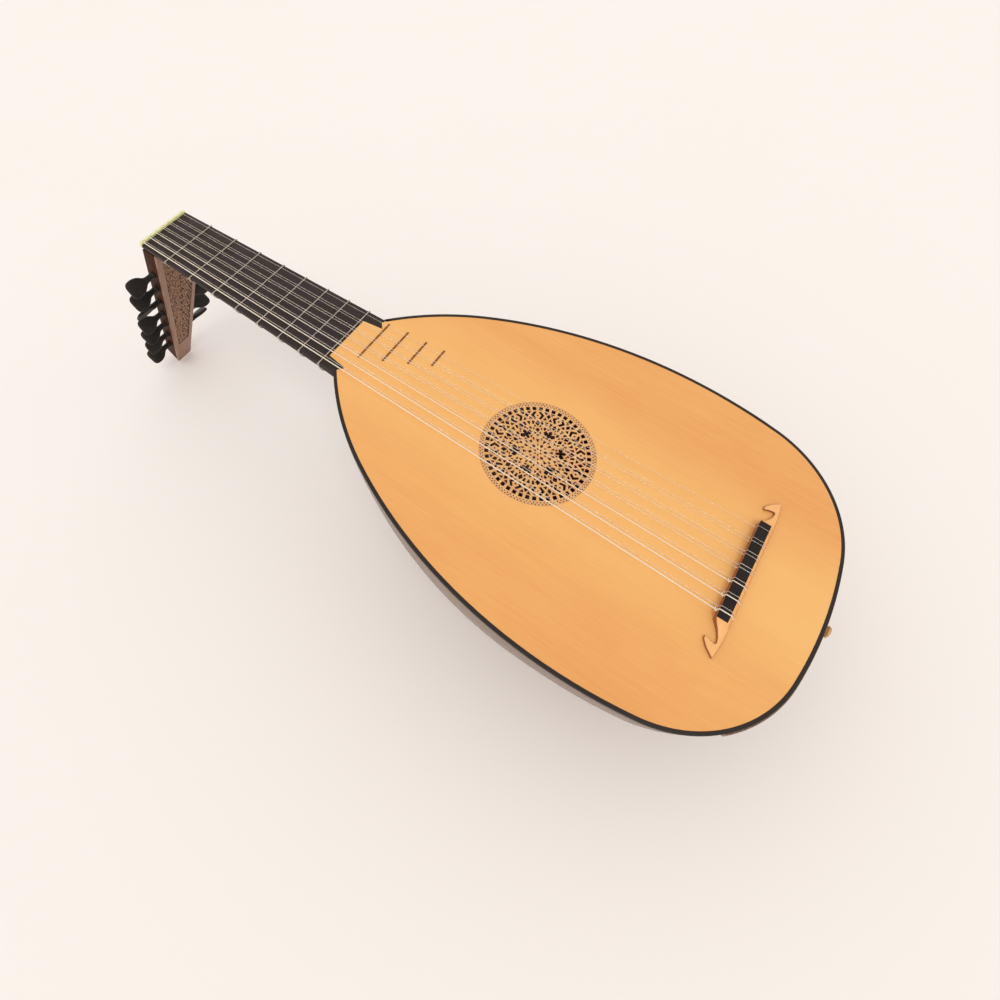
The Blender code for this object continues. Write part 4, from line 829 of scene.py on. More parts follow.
def makeButton():
    z = neckTop - buttonShape["drop"]
    seat = tailSurfaceX(0.0, z, claspShape["gap"] + claspShape["thickness"])
    r, length = buttonShape["radius"], buttonShape["length"]
    profile = [(-buttonShape["stemLength"], buttonShape["stemRadius"] * 0.9),
               (0.0, buttonShape["stemRadius"]), (0.0, r * 0.80), (length * 0.06, r * 0.86),
               (length * 0.14, r * 0.80), (length * 0.22, r * 0.66), (length * 0.30, r * 0.62),
               (length * 0.38, r * 0.70), (length * 0.48, r * 0.90), (length * 0.58, r),
               (length * 0.78, r), (length * 0.88, r * 0.96), (length * 0.96, r * 0.86),
               (length, r * 0.78), (length, r * 0.2)]
    rings = []
    for x, radius in profile:
        steps = [2.0 * math.pi * k / buttonShape["sides"] for k in range(buttonShape["sides"])]
        rings.append([(seat + x, radius * math.cos(a), z + radius * math.sin(a)) for a in steps])
    addPiece("endPin", meshFrom(loft(rings), 35.0), finish["buttonWood"], "root",
             ["end_button"])


makeClasp()
makeButton()


# Soundboard, its wooden frets, bars and edging
boardShape = {
    "tongueCorner": (0.2245, 0.0241),
    "pointTip": (0.2434, 0.0268),
    "rose": (0.4210, 0.0482),
    "barWidth": 0.004,
    "barHeight": 0.012,
    "barStations": (neckJointX + 0.0515, 0.335, 0.490, 0.530, 0.568),
    "fretWidth": 0.0019,
    "fretHeight": 0.0008,
    "frets": ((0.2456, -0.0112, 0.0352), (0.2647, -0.0018, 0.0377),
              (0.2842, 0.0089, 0.0384), (0.3023, 0.0194, 0.0401)),
}


def halfWidthAt(x, offset):
    spans = zip(centres, bodyShape["radii"], (0.0, *bodyShape["ends"]),
                (*bodyShape["ends"], math.pi))
    for centre, radius, low, high in spans:
        share = (x - centre.x) / (radius + offset)
        if abs(share) <= 1.0 and low <= math.acos(share) <= high:
            return centre.y + (radius + offset) * math.sin(math.acos(share))
    return 0.0


def roseCircle(radius, count, turn=0.0):
    middle = boardShape["rose"][0]
    steps = [2.0 * math.pi * k / count + turn for k in range(count)]
    return [(middle + radius * math.cos(a), radius * math.sin(a)) for a in steps]


def makeSoundboard():
    tip, corner = boardShape["pointTip"], boardShape["tongueCorner"]
    edge = wholeOutline(-bodyShape["edgingWidth"] - 0.00003, neckJointX + gap)
    tongue = [(tip[0] + 0.0003, tip[1]), (corner[0] + 0.0001, corner[1] - 0.0001),
              (corner[0] + 0.0001, -corner[1] + 0.0001), (tip[0] + 0.0003, -tip[1])]
    loops = [edge + tongue, roseCircle(boardShape["rose"][1] + 0.00004, 128)]
    mesh = meshFrom(plate(loops, -boardThickness, 0.0), 30.0)
    addPiece("spruceBoard", mesh, finish["spruce"], "root", ["soundboard"])
    bars = bmesh.new()
    for x in boardShape["barStations"]:
        reach = halfWidthAt(x, -bowlShape["wall"]) - 0.006
        low = -boardThickness - boardShape["barHeight"]
        half = boardShape["barWidth"] / 2.0
        shape = [(-reach, -boardThickness), (-reach, -boardThickness - 0.004),
                 (-reach + 0.028, low), (reach - 0.028, low),
                 (reach, -boardThickness - 0.004), (reach, -boardThickness)]
        loft([[(x - half, y, z) for y, z in shape], [(x + half, y, z) for y, z in shape]], bars)
    addPiece("soundboardBars", bevelled(bars, 0.0006), finish["blockWood"], "root", ())


def makeBodyFrets():
    for number, (x, low, high) in enumerate(boardShape["frets"]):
        half = boardShape["fretWidth"] / 2.0
        rise = boardShape["fretHeight"]
        bottom = [(x - half, low, 0.0), (x + half, low, 0.0), (x + half, high, 0.0),
                  (x - half, high, 0.0)]
        ease = 0.0005
        top = [(x - half * 0.6, low + ease, rise), (x + half * 0.6, low + ease, rise),
               (x + half * 0.6, high - ease, rise), (x - half * 0.6, high - ease, rise)]
        mesh = bevelled(loft([bottom, top]), 0.00018, 3, 20.0)
        addPiece("boardFret%d" % (number + 1), mesh, finish["fretWood"], "root", ())


def makeEdging():
    # Rounded strip over the edge; its section runs from the ribs up and over to the board
    outer = wholeOutline(bodyShape["edgingOverhang"], neckJointX)
    inner = wholeOutline(-bodyShape["edgingWidth"], neckJointX)
    low, high = neckTop + 0.0001, bodyShape["edgingRise"]
    ease = 0.0005
    sections = []
    for a, b in zip(outer, inner):
        a, b = Vector((*a, 0.0)), Vector((*b, 0.0))
        inward = (b - a).normalized()
        rise = Vector((0.0, 0.0, 1.0))
        ring = [a + rise * low, a + rise * (high - ease)]
        for step in (30.0, 60.0):
            turn = math.radians(step)
            ring.append(a + inward * ease * (1.0 - math.cos(turn))
                        + rise * (high - ease + ease * math.sin(turn)))
        ring += [a + inward * ease + rise * high, b - inward * 0.0002 + rise * high,
                 b + rise * (high - 0.0002), b + rise * low]
        sections.append(ring)
    mesh = meshFrom(loft(sections), 40.0)
    addPiece("ebonyEdging", mesh, finish["blackEdging"], "root", ["edging"])


makeSoundboard()
makeBodyFrets()
makeEdging()
print("soundboard made")


# The neck, the fingerboard and the nut
nutShape = {"back": -0.0018, "face": 0.0008, "height": 0.0023, "slotHeight": 0.0012,
            "slotWidth": 0.0005, "ease": 0.0008}
pegboxShape = {
    "origin": (-0.0011, -0.0055),
    "length": 0.2508,
    "slant": 0.0119,
    "depth": 0.0182,
    "halfTop": 0.0286,
    "halfEnd": 0.0114,
    "cheek": 0.0045,
    "back": 0.0033,
    "end": 0.0070,
}
pegboxDown = Vector((-math.cos(pegboxBend), 0.0, -math.sin(pegboxBend)))
pegboxIn = Vector((math.sin(pegboxBend), 0.0, -math.cos(pegboxBend)))


def pegboxPoint(down, y, inward):
    origin = Vector((pegboxShape["origin"][0], y, pegboxShape["origin"][1]))
    return origin + pegboxDown * down + pegboxIn * inward


def pegboxHalf(down):
    share = down / pegboxShape["length"]
    return pegboxShape["halfTop"] + (pegboxShape["halfEnd"] - pegboxShape["halfTop"]) * share


def pegboxTop(inward):
    drop = pegboxShape["origin"][1] - (neckTop - neckShape["tongue"] - gap)
    return (drop - math.cos(pegboxBend) * inward) / math.sin(pegboxBend)


def neckHalf(x):
    share = x / neckJointX
    return neckShape["nutHalf"] + (neckShape["bodyHalf"] - neckShape["nutHalf"]) * share


def neckDepth(x):
    share = x / neckJointX
    return neckShape["nutDepth"] + (neckShape["bodyDepth"] - neckShape["nutDepth"]) * share


def neckSection(x, grow, count):
    # The back of the neck is drawn in at the sides, and swells to the bowl's round at the joint
    half, deep = neckHalf(x) + grow, neckDepth(x) + grow
    power = 2.0 / (1.55 + 0.45 * max(0.0, x / neckJointX) ** 6)
    steps = [math.pi * k / count for k in range(count + 1)]
    return [(-half * math.copysign(abs(math.cos(a)) ** power, math.cos(a)),
             neckTop - deep * max(0.0, math.sin(a)) ** power) for a in steps]


def cutMesh(mesh, cutters):
    # Exact boolean with several cutter meshes
    tools = []
    for cutter in cutters:
        tool = bpy.data.objects.new("cutter", cutter)
        bpy.context.scene.collection.objects.link(tool)
        tool.hide_render = True
        tools.append(tool)
    result = evaluatedMesh(mesh, [("BOOLEAN", {
        "object": tool, "operation": "DIFFERENCE", "solver": "EXACT"}) for tool in tools])
    for tool in tools:
        bpy.data.objects.remove(tool, do_unlink=True)
    return result


def makeNeck():
    rows = 13
    sections = []
    for k in range(rows):
        start = nutShape["back"]
        x = start + (neckJointX - start) * k / (rows - 1)
        sections.append([(x, y, z) for y, z in neckSection(x, 0.0, 40)])
    neck = meshFrom(loft(sections))
    top = neckTop - neckShape["tongue"]
    inward = pegboxShape["depth"] + 0.0001
    corner = pegboxPoint(pegboxTop(inward), 0.0, inward)
    far = corner + pegboxDown * 0.1
    shape = [(-0.1, top), (corner.x, top), (far.x, far.z), (-0.1, far.z)]
    cutter = meshFrom(loft([[(x, -0.1, z) for x, z in shape], [(x, 0.1, z) for x, z in shape]]))
    mesh = cutMesh(neck, [cutter])
    bm = bmesh.new()
    bm.from_mesh(mesh)
    bpy.data.meshes.remove(mesh)
    mesh = bevelled(bm, 0.0003, 2, 40.0, 35.0)
    addPiece("neckShaft", mesh, finish["neckVeneer"], "root", ["neck"])


def makeFingerboard():
    start = nutShape["face"] + 0.0001
    tip, corner = boardShape["pointTip"], boardShape["tongueCorner"]
    edgeY = outlinePoint(math.acos((neckJointX - centres[3].x)
                                   / (throatRadius - bodyShape["edgingWidth"])),
                         -bodyShape["edgingWidth"]).y
    half = [(start, neckHalf(start)), (neckJointX + 0.0008, neckHalf(neckJointX)),
            (neckJointX + 0.0008, edgeY + 0.0003), (neckJointX, edgeY - 0.0009), tip, corner]
    shape = half + [(x, -y) for x, y in reversed(half)]
    mesh = bevelled(plate([shape], -boardThickness - gap, 0.0), 0.0003, 2, 40.0)
    addPiece("ebonyFingerboard", mesh, finish["ebony"], "root", ["fingerboard"])


strings = {
    "diameters": (0.00044, 0.00052, 0.00052, 0.00062, 0.00062, 0.00072, 0.00072,
                  0.00060, 0.00088, 0.00066, 0.00104, 0.00072, 0.00118),
    "length": 0.5935,
    "courses": 7,
    "nutSpread": 0.0490,
    "nutPair": 0.0021,
    "bridgeSpread": 0.0772,
    "bridgePair": 0.0032,
    "bridgeShift": 0.0008,
    "bright": (8, 10, 12),
    "turns": 4,
    "pointsPerTurn": 20,
    "slim": 0.82,
}


def courseY(number, spread, pair):
    course = (number + 1) // 2
    middle = spread / 2.0 - spread * course / (strings["courses"] - 1)
    if number == 0:
        return middle
    return middle + (pair / 2.0 if number % 2 == 1 else -pair / 2.0)


def stringRadius(number):
    # Drawn slimmer than the solid strings, as thin as they look in the photograph
    return strings["diameters"][number] / 2.0 * strings["slim"]


def nutY(number):
    return courseY(number, strings["nutSpread"], strings["nutPair"])


def bridgeY(number):
    spread = courseY(number, strings["bridgeSpread"], strings["bridgePair"])
    return spread + strings["bridgeShift"]


def makeNut():
    half, high, ease = neckShape["nutHalf"], nutShape["height"], nutShape["ease"]
    top = [(-half, high - ease), (-half + ease, high)]
    for number in reversed(range(len(strings["diameters"]))):
        wide = (strings["diameters"][number] + nutShape["slotWidth"]) / 2.0
        y, low = nutY(number), nutShape["slotHeight"]
        floor = [(y - wide, high), (y - wide, low + wide)]
        floor += [(y - wide * math.cos(math.radians(a)), low + wide
                   - wide * math.sin(math.radians(a))) for a in (30, 60, 90, 120, 150)]
        floor += [(y + wide, low + wide), (y + wide, high)]
        top += floor
    top += [(half - ease, high), (half, high - ease)]
    shape = [(-half, -boardThickness - gap)] + top + [(half, -boardThickness - gap)]
    mesh = meshFrom(plate([shape], -nutShape["face"], -nutShape["back"]))
    swap = Matrix(((0, 0, -1, 0), (1, 0, 0, 0), (0, 1, 0, 0), (0, 0, 0, 1)))
    mesh.transform(swap)
    bm = bmesh.new()
    bm.from_mesh(mesh)
    mesh = bevelled(bm, 0.0001, 2, 40.0, 30.0)
    addPiece("boneNut", mesh, finish["oldBone"], "root", ["nut"])


makeNeck()
makeFingerboard()
makeNut()
print("neck made")


# The pegbox
pegShape = {
    "count": 13,
    "first": 0.0383,
    "pitch": 0.0148,
    "depth": 0.0088,
    "radius": 0.0037,
    "taper": 1.0 / 28.0,
    "shank": 0.0115,
    "headLength": 0.0202,
    "headHalf": 0.0098,
    "headThick": 0.0030,
    "turns": (125, 20, 132, -35, 60, 15, 125, 75, 140, 35, 115, -35, 145),
    "sides": 40,
}


def pegPlace(index):
    side = -1.0 if index % 2 == 0 else 1.0
    return pegShape["first"] + pegShape["pitch"] * index, side


def pegRadius(index, y):
    down, side = pegPlace(index)
    return pegShape["radius"] - pegShape["taper"] * (pegboxHalf(down) - side * y)


def pegboxEnd(inward):
    return pegboxShape["length"] + pegboxShape["slant"] * inward / pegboxShape["depth"]


def pegboxSlab(nearY, farY, front, back, top=None):
    low, far = pegboxEnd(front), pegboxEnd(back)
    sections = []
    for edge in (nearY, farY):
        ring = []
        for inward, down in ((front, top), (back, top), (back, far), (front, low)):
            spot = pegboxTop(inward) if down is None else down
            ring.append(pegboxPoint(spot, edge(spot), inward))
        sections.append(ring)
    return loft(sections)


def makeCheek(name, side, node):
    back = pegboxShape["depth"] - pegboxShape["back"]
    slab = pegboxSlab(lambda d: side * pegboxHalf(d),
                      lambda d: side * (pegboxHalf(d) - pegboxShape["cheek"]), 0.0, back)
    mesh = bevelled(slab, 0.0006, 3, 30.0)
    cutters = []
    for index in range(pegShape["count"]):
        down = pegPlace(index)[0]
        y = side * (pegboxHalf(down) - pegboxShape["cheek"] / 2.0)
        bm = bmesh.new()
        radius = pegRadius(index, y) + 0.00012
        bmesh.ops.create_cone(bm, cap_ends=True, segments=32, radius1=radius, radius2=radius,
                              depth=pegboxShape["cheek"] * 2.5)
        turn = Matrix.Rotation(math.pi / 2.0, 4, "X")
        spot = Matrix.Translation(pegboxPoint(down, y, pegShape["depth"]))
        bmesh.ops.transform(bm, matrix=spot @ turn, verts=bm.verts)
        cutters.append(meshFrom(bm))
    mesh = cutMesh(mesh, cutters)
    mesh.shade_smooth()
    mesh.set_sharp_from_angle(angle=math.radians(35.0))
    addPiece(name, mesh, finish["shadedCheekWalnut"], "root", [node])


makeCheek("pegboxCheekBass", -1.0, "pegbox_cheek_bass")
makeCheek("pegboxCheekTreble", 1.0, "pegbox_cheek_treble")


def makePegboxEnd():
    inset = pegboxShape["cheek"]
    back = pegboxShape["depth"] - pegboxShape["back"]
    slab = pegboxSlab(lambda d: -(pegboxHalf(d) - inset), lambda d: pegboxHalf(d) - inset,
                      0.0, back, top=pegboxShape["length"] - pegboxShape["end"])
    addPiece("pegboxFoot", bevelled(slab, 0.0004), finish["shadedCheekWalnut"], "root",
             ["pegbox_end"])


carving = {
    "margin": 0.0058,
    "top": 0.0095,
    "end": 0.214,
    "recess": 0.0009,
    "leafLength": 0.0052,
    "leafWidth": 0.0017,
    "leafHeight": 0.0015,
    "rowPitch": 0.0046,
    "rankPitch": 0.0026,
    "splay": math.radians(15.0),
    "stemRadius": 0.0006,
    "stemPitch": 0.014,
    "seed": 7,
}


def makeLeafMesh():
    # A small pointed leaf with a raised rim and a sunk midrib, lying along x
    columns, rows = 7, 5
    bm = bmesh.new()
    grid = []
    for i in range(columns):
        share = i / (columns - 1)
        half = carving["leafWidth"] / 2.0 * math.sin(math.pi * min(1.0, share * 0.92 + 0.06)) ** 0.7
        line = []
        for j in range(rows):
            across = -1.0 + 2.0 * j / (rows - 1)
            crown = 1.0 - 0.45 * abs(across) ** 2 - 0.35 * (1.0 - abs(across)) ** 3
            ends = math.sin(math.pi * (0.12 + 0.8 * share)) ** 0.5
            height = carving["leafHeight"] * crown * ends
            line.append(bm.verts.new((carving["leafLength"] * share, half * across, height)))
        grid.append(line)
    for i in range(columns - 1):
        for j in range(rows - 1):
            bm.faces.new((grid[i][j], grid[i + 1][j], grid[i + 1][j + 1], grid[i][j + 1]))
    border = [e for e in bm.edges if e.is_boundary]
    made = bmesh.ops.extrude_edge_only(bm, edges=border)
    for v in [g for g in made["geom"] if isinstance(g, bmesh.types.BMVert)]:
        v.co.z = -0.0002
    return meshFrom(bm, 60.0)


def makeLeafTree():
    # Leaves stood on the points; the attributes turn and size set each one's lie
    tree, start, end = newGeometryTree("leavesOnPoints", [
        ("Leaf", "Object", None), ("Material", "Material", None)])
    leaf = place(tree, "GeometryNodeObjectInfo", {"Object": start.outputs["Leaf"]})
    turn = place(tree, "GeometryNodeInputNamedAttribute", {"Name": "turn"}, data_type="FLOAT")
    size = place(tree, "GeometryNodeInputNamedAttribute", {"Name": "size"}, data_type="FLOAT")
    euler = place(tree, "ShaderNodeCombineXYZ", {2: turn.outputs["Attribute"]})
    rotation = place(tree, "FunctionNodeEulerToRotation", {0: euler.outputs[0]})
    spots = place(tree, "GeometryNodeMeshToPoints", {0: start.outputs[0]})
    leaves = place(tree, "GeometryNodeInstanceOnPoints", {
        "Points": spots.outputs[0], "Instance": leaf.outputs["Geometry"],
        "Rotation": rotation.outputs[0], "Scale": size.outputs["Attribute"]})
    closeTree(tree, leaves.outputs[0], start.outputs["Material"], end)
    return tree


def backFrame(height):
    # Matrix from the carving's plane (x down the pegbox, y across, z out) to the lute frame
    out = pegboxPoint(0.0, 0.0, pegboxShape["depth"] + height)
    axes = Matrix((pegboxDown, Vector((0.0, 1.0, 0.0)), pegboxIn)).transposed().to_4x4()
    return Matrix.Translation(out) @ axes


def carvedHalf(down):
    return max(0.0022, pegboxHalf(down) - carving["margin"])


def makePegboxBack():
    half = pegboxShape["back"] / 2.0
    slab = pegboxSlab(lambda d: -pegboxHalf(d), pegboxHalf,
                      pegboxShape["depth"] - pegboxShape["back"], pegboxShape["depth"])
    mesh = bevelled(slab, 0.0006, 3, 30.0)
    lift = backFrame(-carving["recess"])
    low, high = carving["top"], carving["end"]
    shape = [(low, carvedHalf(low)), (high, carvedHalf(high)),
             (high, -carvedHalf(high)), (low, -carvedHalf(low))]
    pocket = meshFrom(plate([shape], 0.0, half))
    pocket.transform(lift)
    mesh = cutMesh(mesh, [pocket])
    mesh.shade_smooth()
    mesh.set_sharp_from_angle(angle=math.radians(35.0))
    addPiece("pegboxBackPlate", mesh, finish["backWalnut"], "root", ["pegbox_back"])
    # a dark panel at the bottom of the carving, painted shade in the recess
    ground = meshFrom(plate([[(d, y * 0.999) for d, y in shape]], -0.0002, 0.00005))
    ground.transform(lift)
    addPiece("carvedGroundPanel", ground, finish["carvedGroundShade"], "root", ())


def carvedStem(side):
    # One of the two stems that cross and part again down the middle
    low, high = carving["top"] + 0.002, carving["end"] - 0.002
    stem = []
    for k in range(161):
        d = low + (high - low) * k / 160.0
        sway = carvedHalf(d) * 0.5 * math.sin(math.pi * (d - low) / carving["stemPitch"])
        stem.append((d, side * sway, carving["stemRadius"] * 0.7))
    return stem


def leafSpots():
    # Rows of leaves that spread from the middle, every other row shifted by half a leaf
    draw = random.Random(carving["seed"])
    spots, turns, sizes = [], [], []
    rows = round((carving["end"] - carving["top"]) / carving["rowPitch"])
    for row in range(rows):
        d = carving["top"] + carving["rowPitch"] * row
        ranks = round(carvedHalf(d) / carving["rankPitch"])
        for rank in range(-ranks, ranks + 1):
            y = carving["rankPitch"] * (rank + 0.5 * (row % 2) + draw.uniform(-0.2, 0.2))
            angle = math.copysign(carving["splay"], y) * draw.uniform(0.4, 1.5)
            size = draw.uniform(0.72, 1.08)
            reach = carving["leafLength"] * size
            tip = Vector((d + reach * math.cos(angle), y + reach * math.sin(angle)))
            inside = abs(tip.y) < carvedHalf(tip.x) and abs(y) < carvedHalf(d) - 0.0004
            if inside and tip.x < carving["end"] - 0.0003:
                spots.append((d + draw.uniform(-0.0006, 0.0006), y, 0.0))
                turns.append(angle)
                sizes.append(size)
    return spots, turns, sizes


def makeCarving():
    lift = backFrame(-carving["recess"])
    lines = [(carvedStem(side), carving["stemRadius"]) for side in (1.0, -1.0)]
    mesh = cordMesh(lines, finish["carvedLeavesHighlight"], 8)
    mesh.transform(lift)
    addPiece("carvedStems", mesh, finish["carvedLeavesHighlight"], "root", ())
    spots, turns, sizes = leafSpots()
    points = bpy.data.meshes.new("leafPoints")
    points.from_pydata(spots, [], [])
    points.attributes.new("turn", "FLOAT", "POINT").data.foreach_set("value", turns)
    points.attributes.new("size", "FLOAT", "POINT").data.foreach_set("value", sizes)
    leaf = bpy.data.objects.new("leafPattern", makeLeafMesh())
    bpy.context.scene.collection.objects.link(leaf)
    mesh = evaluatedMesh(points, [("NODES", {"tree": makeLeafTree(), "Leaf": leaf,
                                             "Material": finish["carvedLeavesHighlight"]})])
    bpy.data.objects.remove(leaf, do_unlink=True)
    mesh.transform(lift)
    addPiece("carvedFoliage", mesh, finish["carvedLeavesHighlight"], "root", ())
    print("leaves on the pegbox:", len(spots))


makePegboxEnd()
makePegboxBack()
makeCarving()


# The pegs
def makePeg(index):
    down, side = pegPlace(index)
    cheek = pegboxHalf(down)
    base = pegShape["radius"]
    tip = base - pegShape["taper"] * 2.0 * cheek
    neck = cheek + pegShape["shank"]
    head, wide, thick = pegShape["headLength"], pegShape["headHalf"], pegShape["headThick"]
    # (distance, half width, half thickness, squareness)
    profile = [(-cheek + 0.0002, tip * 0.80, tip * 0.80, 2.0),
               (-cheek + 0.0006, tip, tip, 2.0),
               (cheek - 0.0004, base, base, 2.0), (cheek + 0.0006, base, base, 2.0),
               (cheek + 0.0009, base * 1.05, base * 1.05, 2.0),
               (cheek + 0.0018, base * 1.05, base * 1.05, 2.0),
               (cheek + 0.0022, base * 0.94, base * 0.94, 2.0),
               (neck - 0.0060, base * 0.86, base * 0.86, 2.0),
               (neck - 0.0028, base * 0.86, base * 0.86, 2.0),
               (neck - 0.0010, base * 0.95, base * 0.90, 2.1),
               (neck, base * 1.04, thick * 0.98, 2.2)]
    shares = [(0.05, 0.46, 0.95), (0.12, 0.58, 0.92), (0.20, 0.71, 0.89), (0.30, 0.84, 0.86),
              (0.42, 0.93, 0.83), (0.54, 0.98, 0.80), (0.68, 0.99, 0.77), (0.80, 0.96, 0.74),
              (0.88, 0.90, 0.69), (0.935, 0.81, 0.62), (0.97, 0.70, 0.53), (0.99, 0.58, 0.43),
              (1.0, 0.42, 0.30)]
    profile += [(neck + head * a, wide * b, thick * c, 2.2 + 0.9 * min(1.0, a * 2.0))
                for a, b, c in shares]
    rings = []
    for along, half, flat, square in profile:
        ring = []
        for k in range(pegShape["sides"]):
            angle = 2.0 * math.pi * k / pegShape["sides"]
            c, s = math.cos(angle), math.sin(angle)
            power = 2.0 / square
            x = half * math.copysign(abs(c) ** power, c)
            z = flat * math.copysign(abs(s) ** power, s)
            ring.append((x, along, z))
        rings.append(ring)
    mesh = meshFrom(loft(rings), 50.0)
    turn = Matrix.Rotation(math.radians(pegShape["turns"][index]), 4, "Y")
    flip = Matrix.Rotation(0.0 if side > 0 else math.pi, 4, "Z")
    mesh.transform(Matrix.Translation(pegboxPoint(down, 0.0, pegShape["depth"])) @ flip @ turn)
    name = "peg_%02d" % (index + 1)
    addPiece("turnedPeg%02d" % (index + 1), mesh, finish["pegWood"], name, [name])


for pegIndex in range(pegShape["count"]):
    makePeg(pegIndex)
print("pegbox made")


# The bridge
bridgeShape = {
    "half": 0.0452,
    "topWidth": 0.0085,
    "heel": 0.0040,
    "baseHeight": 0.0070,
    "capThickness": 0.0013,
    "tipHeight": 0.0026,
    "holeHeight": 0.0048,
    "holeRadius": 0.0008,
    "tip": ((0.0020, 0.0025), (0.0050, 0.0062), (0.0076, 0.0112), (0.0086, 0.0152),
            (0.0076, 0.0168), (0.0038, 0.0160), (-0.0006, 0.0142), (-0.0004, 0.0176),
            (0.0036, 0.0224), (0.0100, 0.0274), (0.0113, 0.0192), (0.0121, 0.0100)),
    "ramp": ((-0.0002, 0.0002, 0.0), (0.0012, 0.0012, 0.0011), (0.0028, 0.0025, 0.0024),
             (0.0062, 0.0053, 0.0038), (0.0104, 0.0076, 0.0047)),
}


def bridgeTop():
    return bridgeShape["baseHeight"] + bridgeShape["capThickness"]


def makeBridge():
    front, end = strings["length"], bridgeShape["half"]
    heel = front + bridgeShape["topWidth"] + bridgeShape["heel"]
    back = front + bridgeShape["topWidth"]
    tip = [(front + x, end + y) for x, y in bridgeShape["tip"]]
    foot = [(front, end)] + tip + [(heel, end), (heel, -end)]
    foot += [(x, -y) for x, y in reversed(tip)] + [(front, -end)]
    mesh = bevelled(plate([foot], 0.0, bridgeShape["tipHeight"]), 0.0008, 3, 30.0)
    addPiece("bridgeScrolls", mesh, finish["scrollPear"], "root", ["bridge_base"])
    low = bridgeShape["tipHeight"] * 0.9
    high = bridgeShape["baseHeight"] + gap
    ends = []
    for out, forward, drop in bridgeShape["ramp"]:
        ends.append((end + out, [(front + forward, low), (heel - 0.0004 - forward * 0.1, low),
                                 (max(back - 0.0002 - forward * 0.2, front + forward + 0.001),
                                  high - drop), (front + forward, high - drop)]))
    sections = [[(x, -y, z) for x, z in ring] for y, ring in reversed(ends)]
    sections += [[(x, y, z) for x, z in ring] for y, ring in ends]
    mesh = bevelled(loft(sections), 0.0003, 2, 30.0)
    cutters = []
    for number in range(len(strings["diameters"])):
        bm = bmesh.new()
        bmesh.ops.create_cone(bm, cap_ends=True, segments=20, radius1=bridgeShape["holeRadius"],
                              radius2=bridgeShape["holeRadius"], depth=0.04)
        turn = Matrix.Rotation(math.pi / 2.0, 4, "Y")
        spot = Matrix.Translation((front + 0.005, bridgeY(number), bridgeShape["holeHeight"]))
        bmesh.ops.transform(bm, matrix=spot @ turn, verts=bm.verts)
        cutters.append(meshFrom(bm))
    mesh = cutMesh(mesh, cutters)
    mesh.shade_smooth()
    mesh.set_sharp_from_angle(angle=math.radians(35.0))
    addPiece("bridgeBar", mesh, finish["bridgePear"], "root", ())
    cap = [(front - 0.0001, high), (back, high), (back, bridgeTop()),
           (front - 0.0001, bridgeTop())]
    mesh = bevelled(loft([[(x, -end, z) for x, z in cap], [(x, end, z) for x, z in cap]]),
                    0.0004, 3, 30.0)
    addPiece("bridgeCapStrip", mesh, finish["capEbony"], "root", ["bridge_cap"])


makeBridge()
print("bridge made")


# The strings, from the knot at the bridge to the turns on the peg
def stringPeg(number):
    last = len(strings["diameters"]) - 1
    return 2 * number + 1 if number <= 5 else 2 * (last - number)


def windingPoints(number, leave):
    radius = stringRadius(number)
    index = stringPeg(number)
    down, side = pegPlace(index)
    pitch = 2.0 * radius + 0.00008
    room = pegboxHalf(down) - pegboxShape["cheek"] - strings["turns"] * pitch - 0.0008
    startY = side * max(0.0, min(room, abs(leave.y)))
    reach = pegRadius(index, startY + side * strings["turns"] * pitch) + radius + 0.00003
    centre = pegboxPoint(down, 0.0, pegShape["depth"])
    away = Vector((leave.x, 0.0, leave.z)) - centre
    along, inward = away.dot(pegboxDown), away.dot(pegboxIn)
    angle = math.atan2(along, -inward) + math.acos(reach / math.hypot(along, inward))
    points = []
    for k in range(strings["turns"] * strings["pointsPerTurn"] + 1):
        turns = k / strings["pointsPerTurn"]
        turn = angle + 2.0 * math.pi * turns
        points.append(pegboxPoint(down + reach * math.sin(turn), startY + side * pitch * turns,
                                  pegShape["depth"] - reach * math.cos(turn)))
    return points


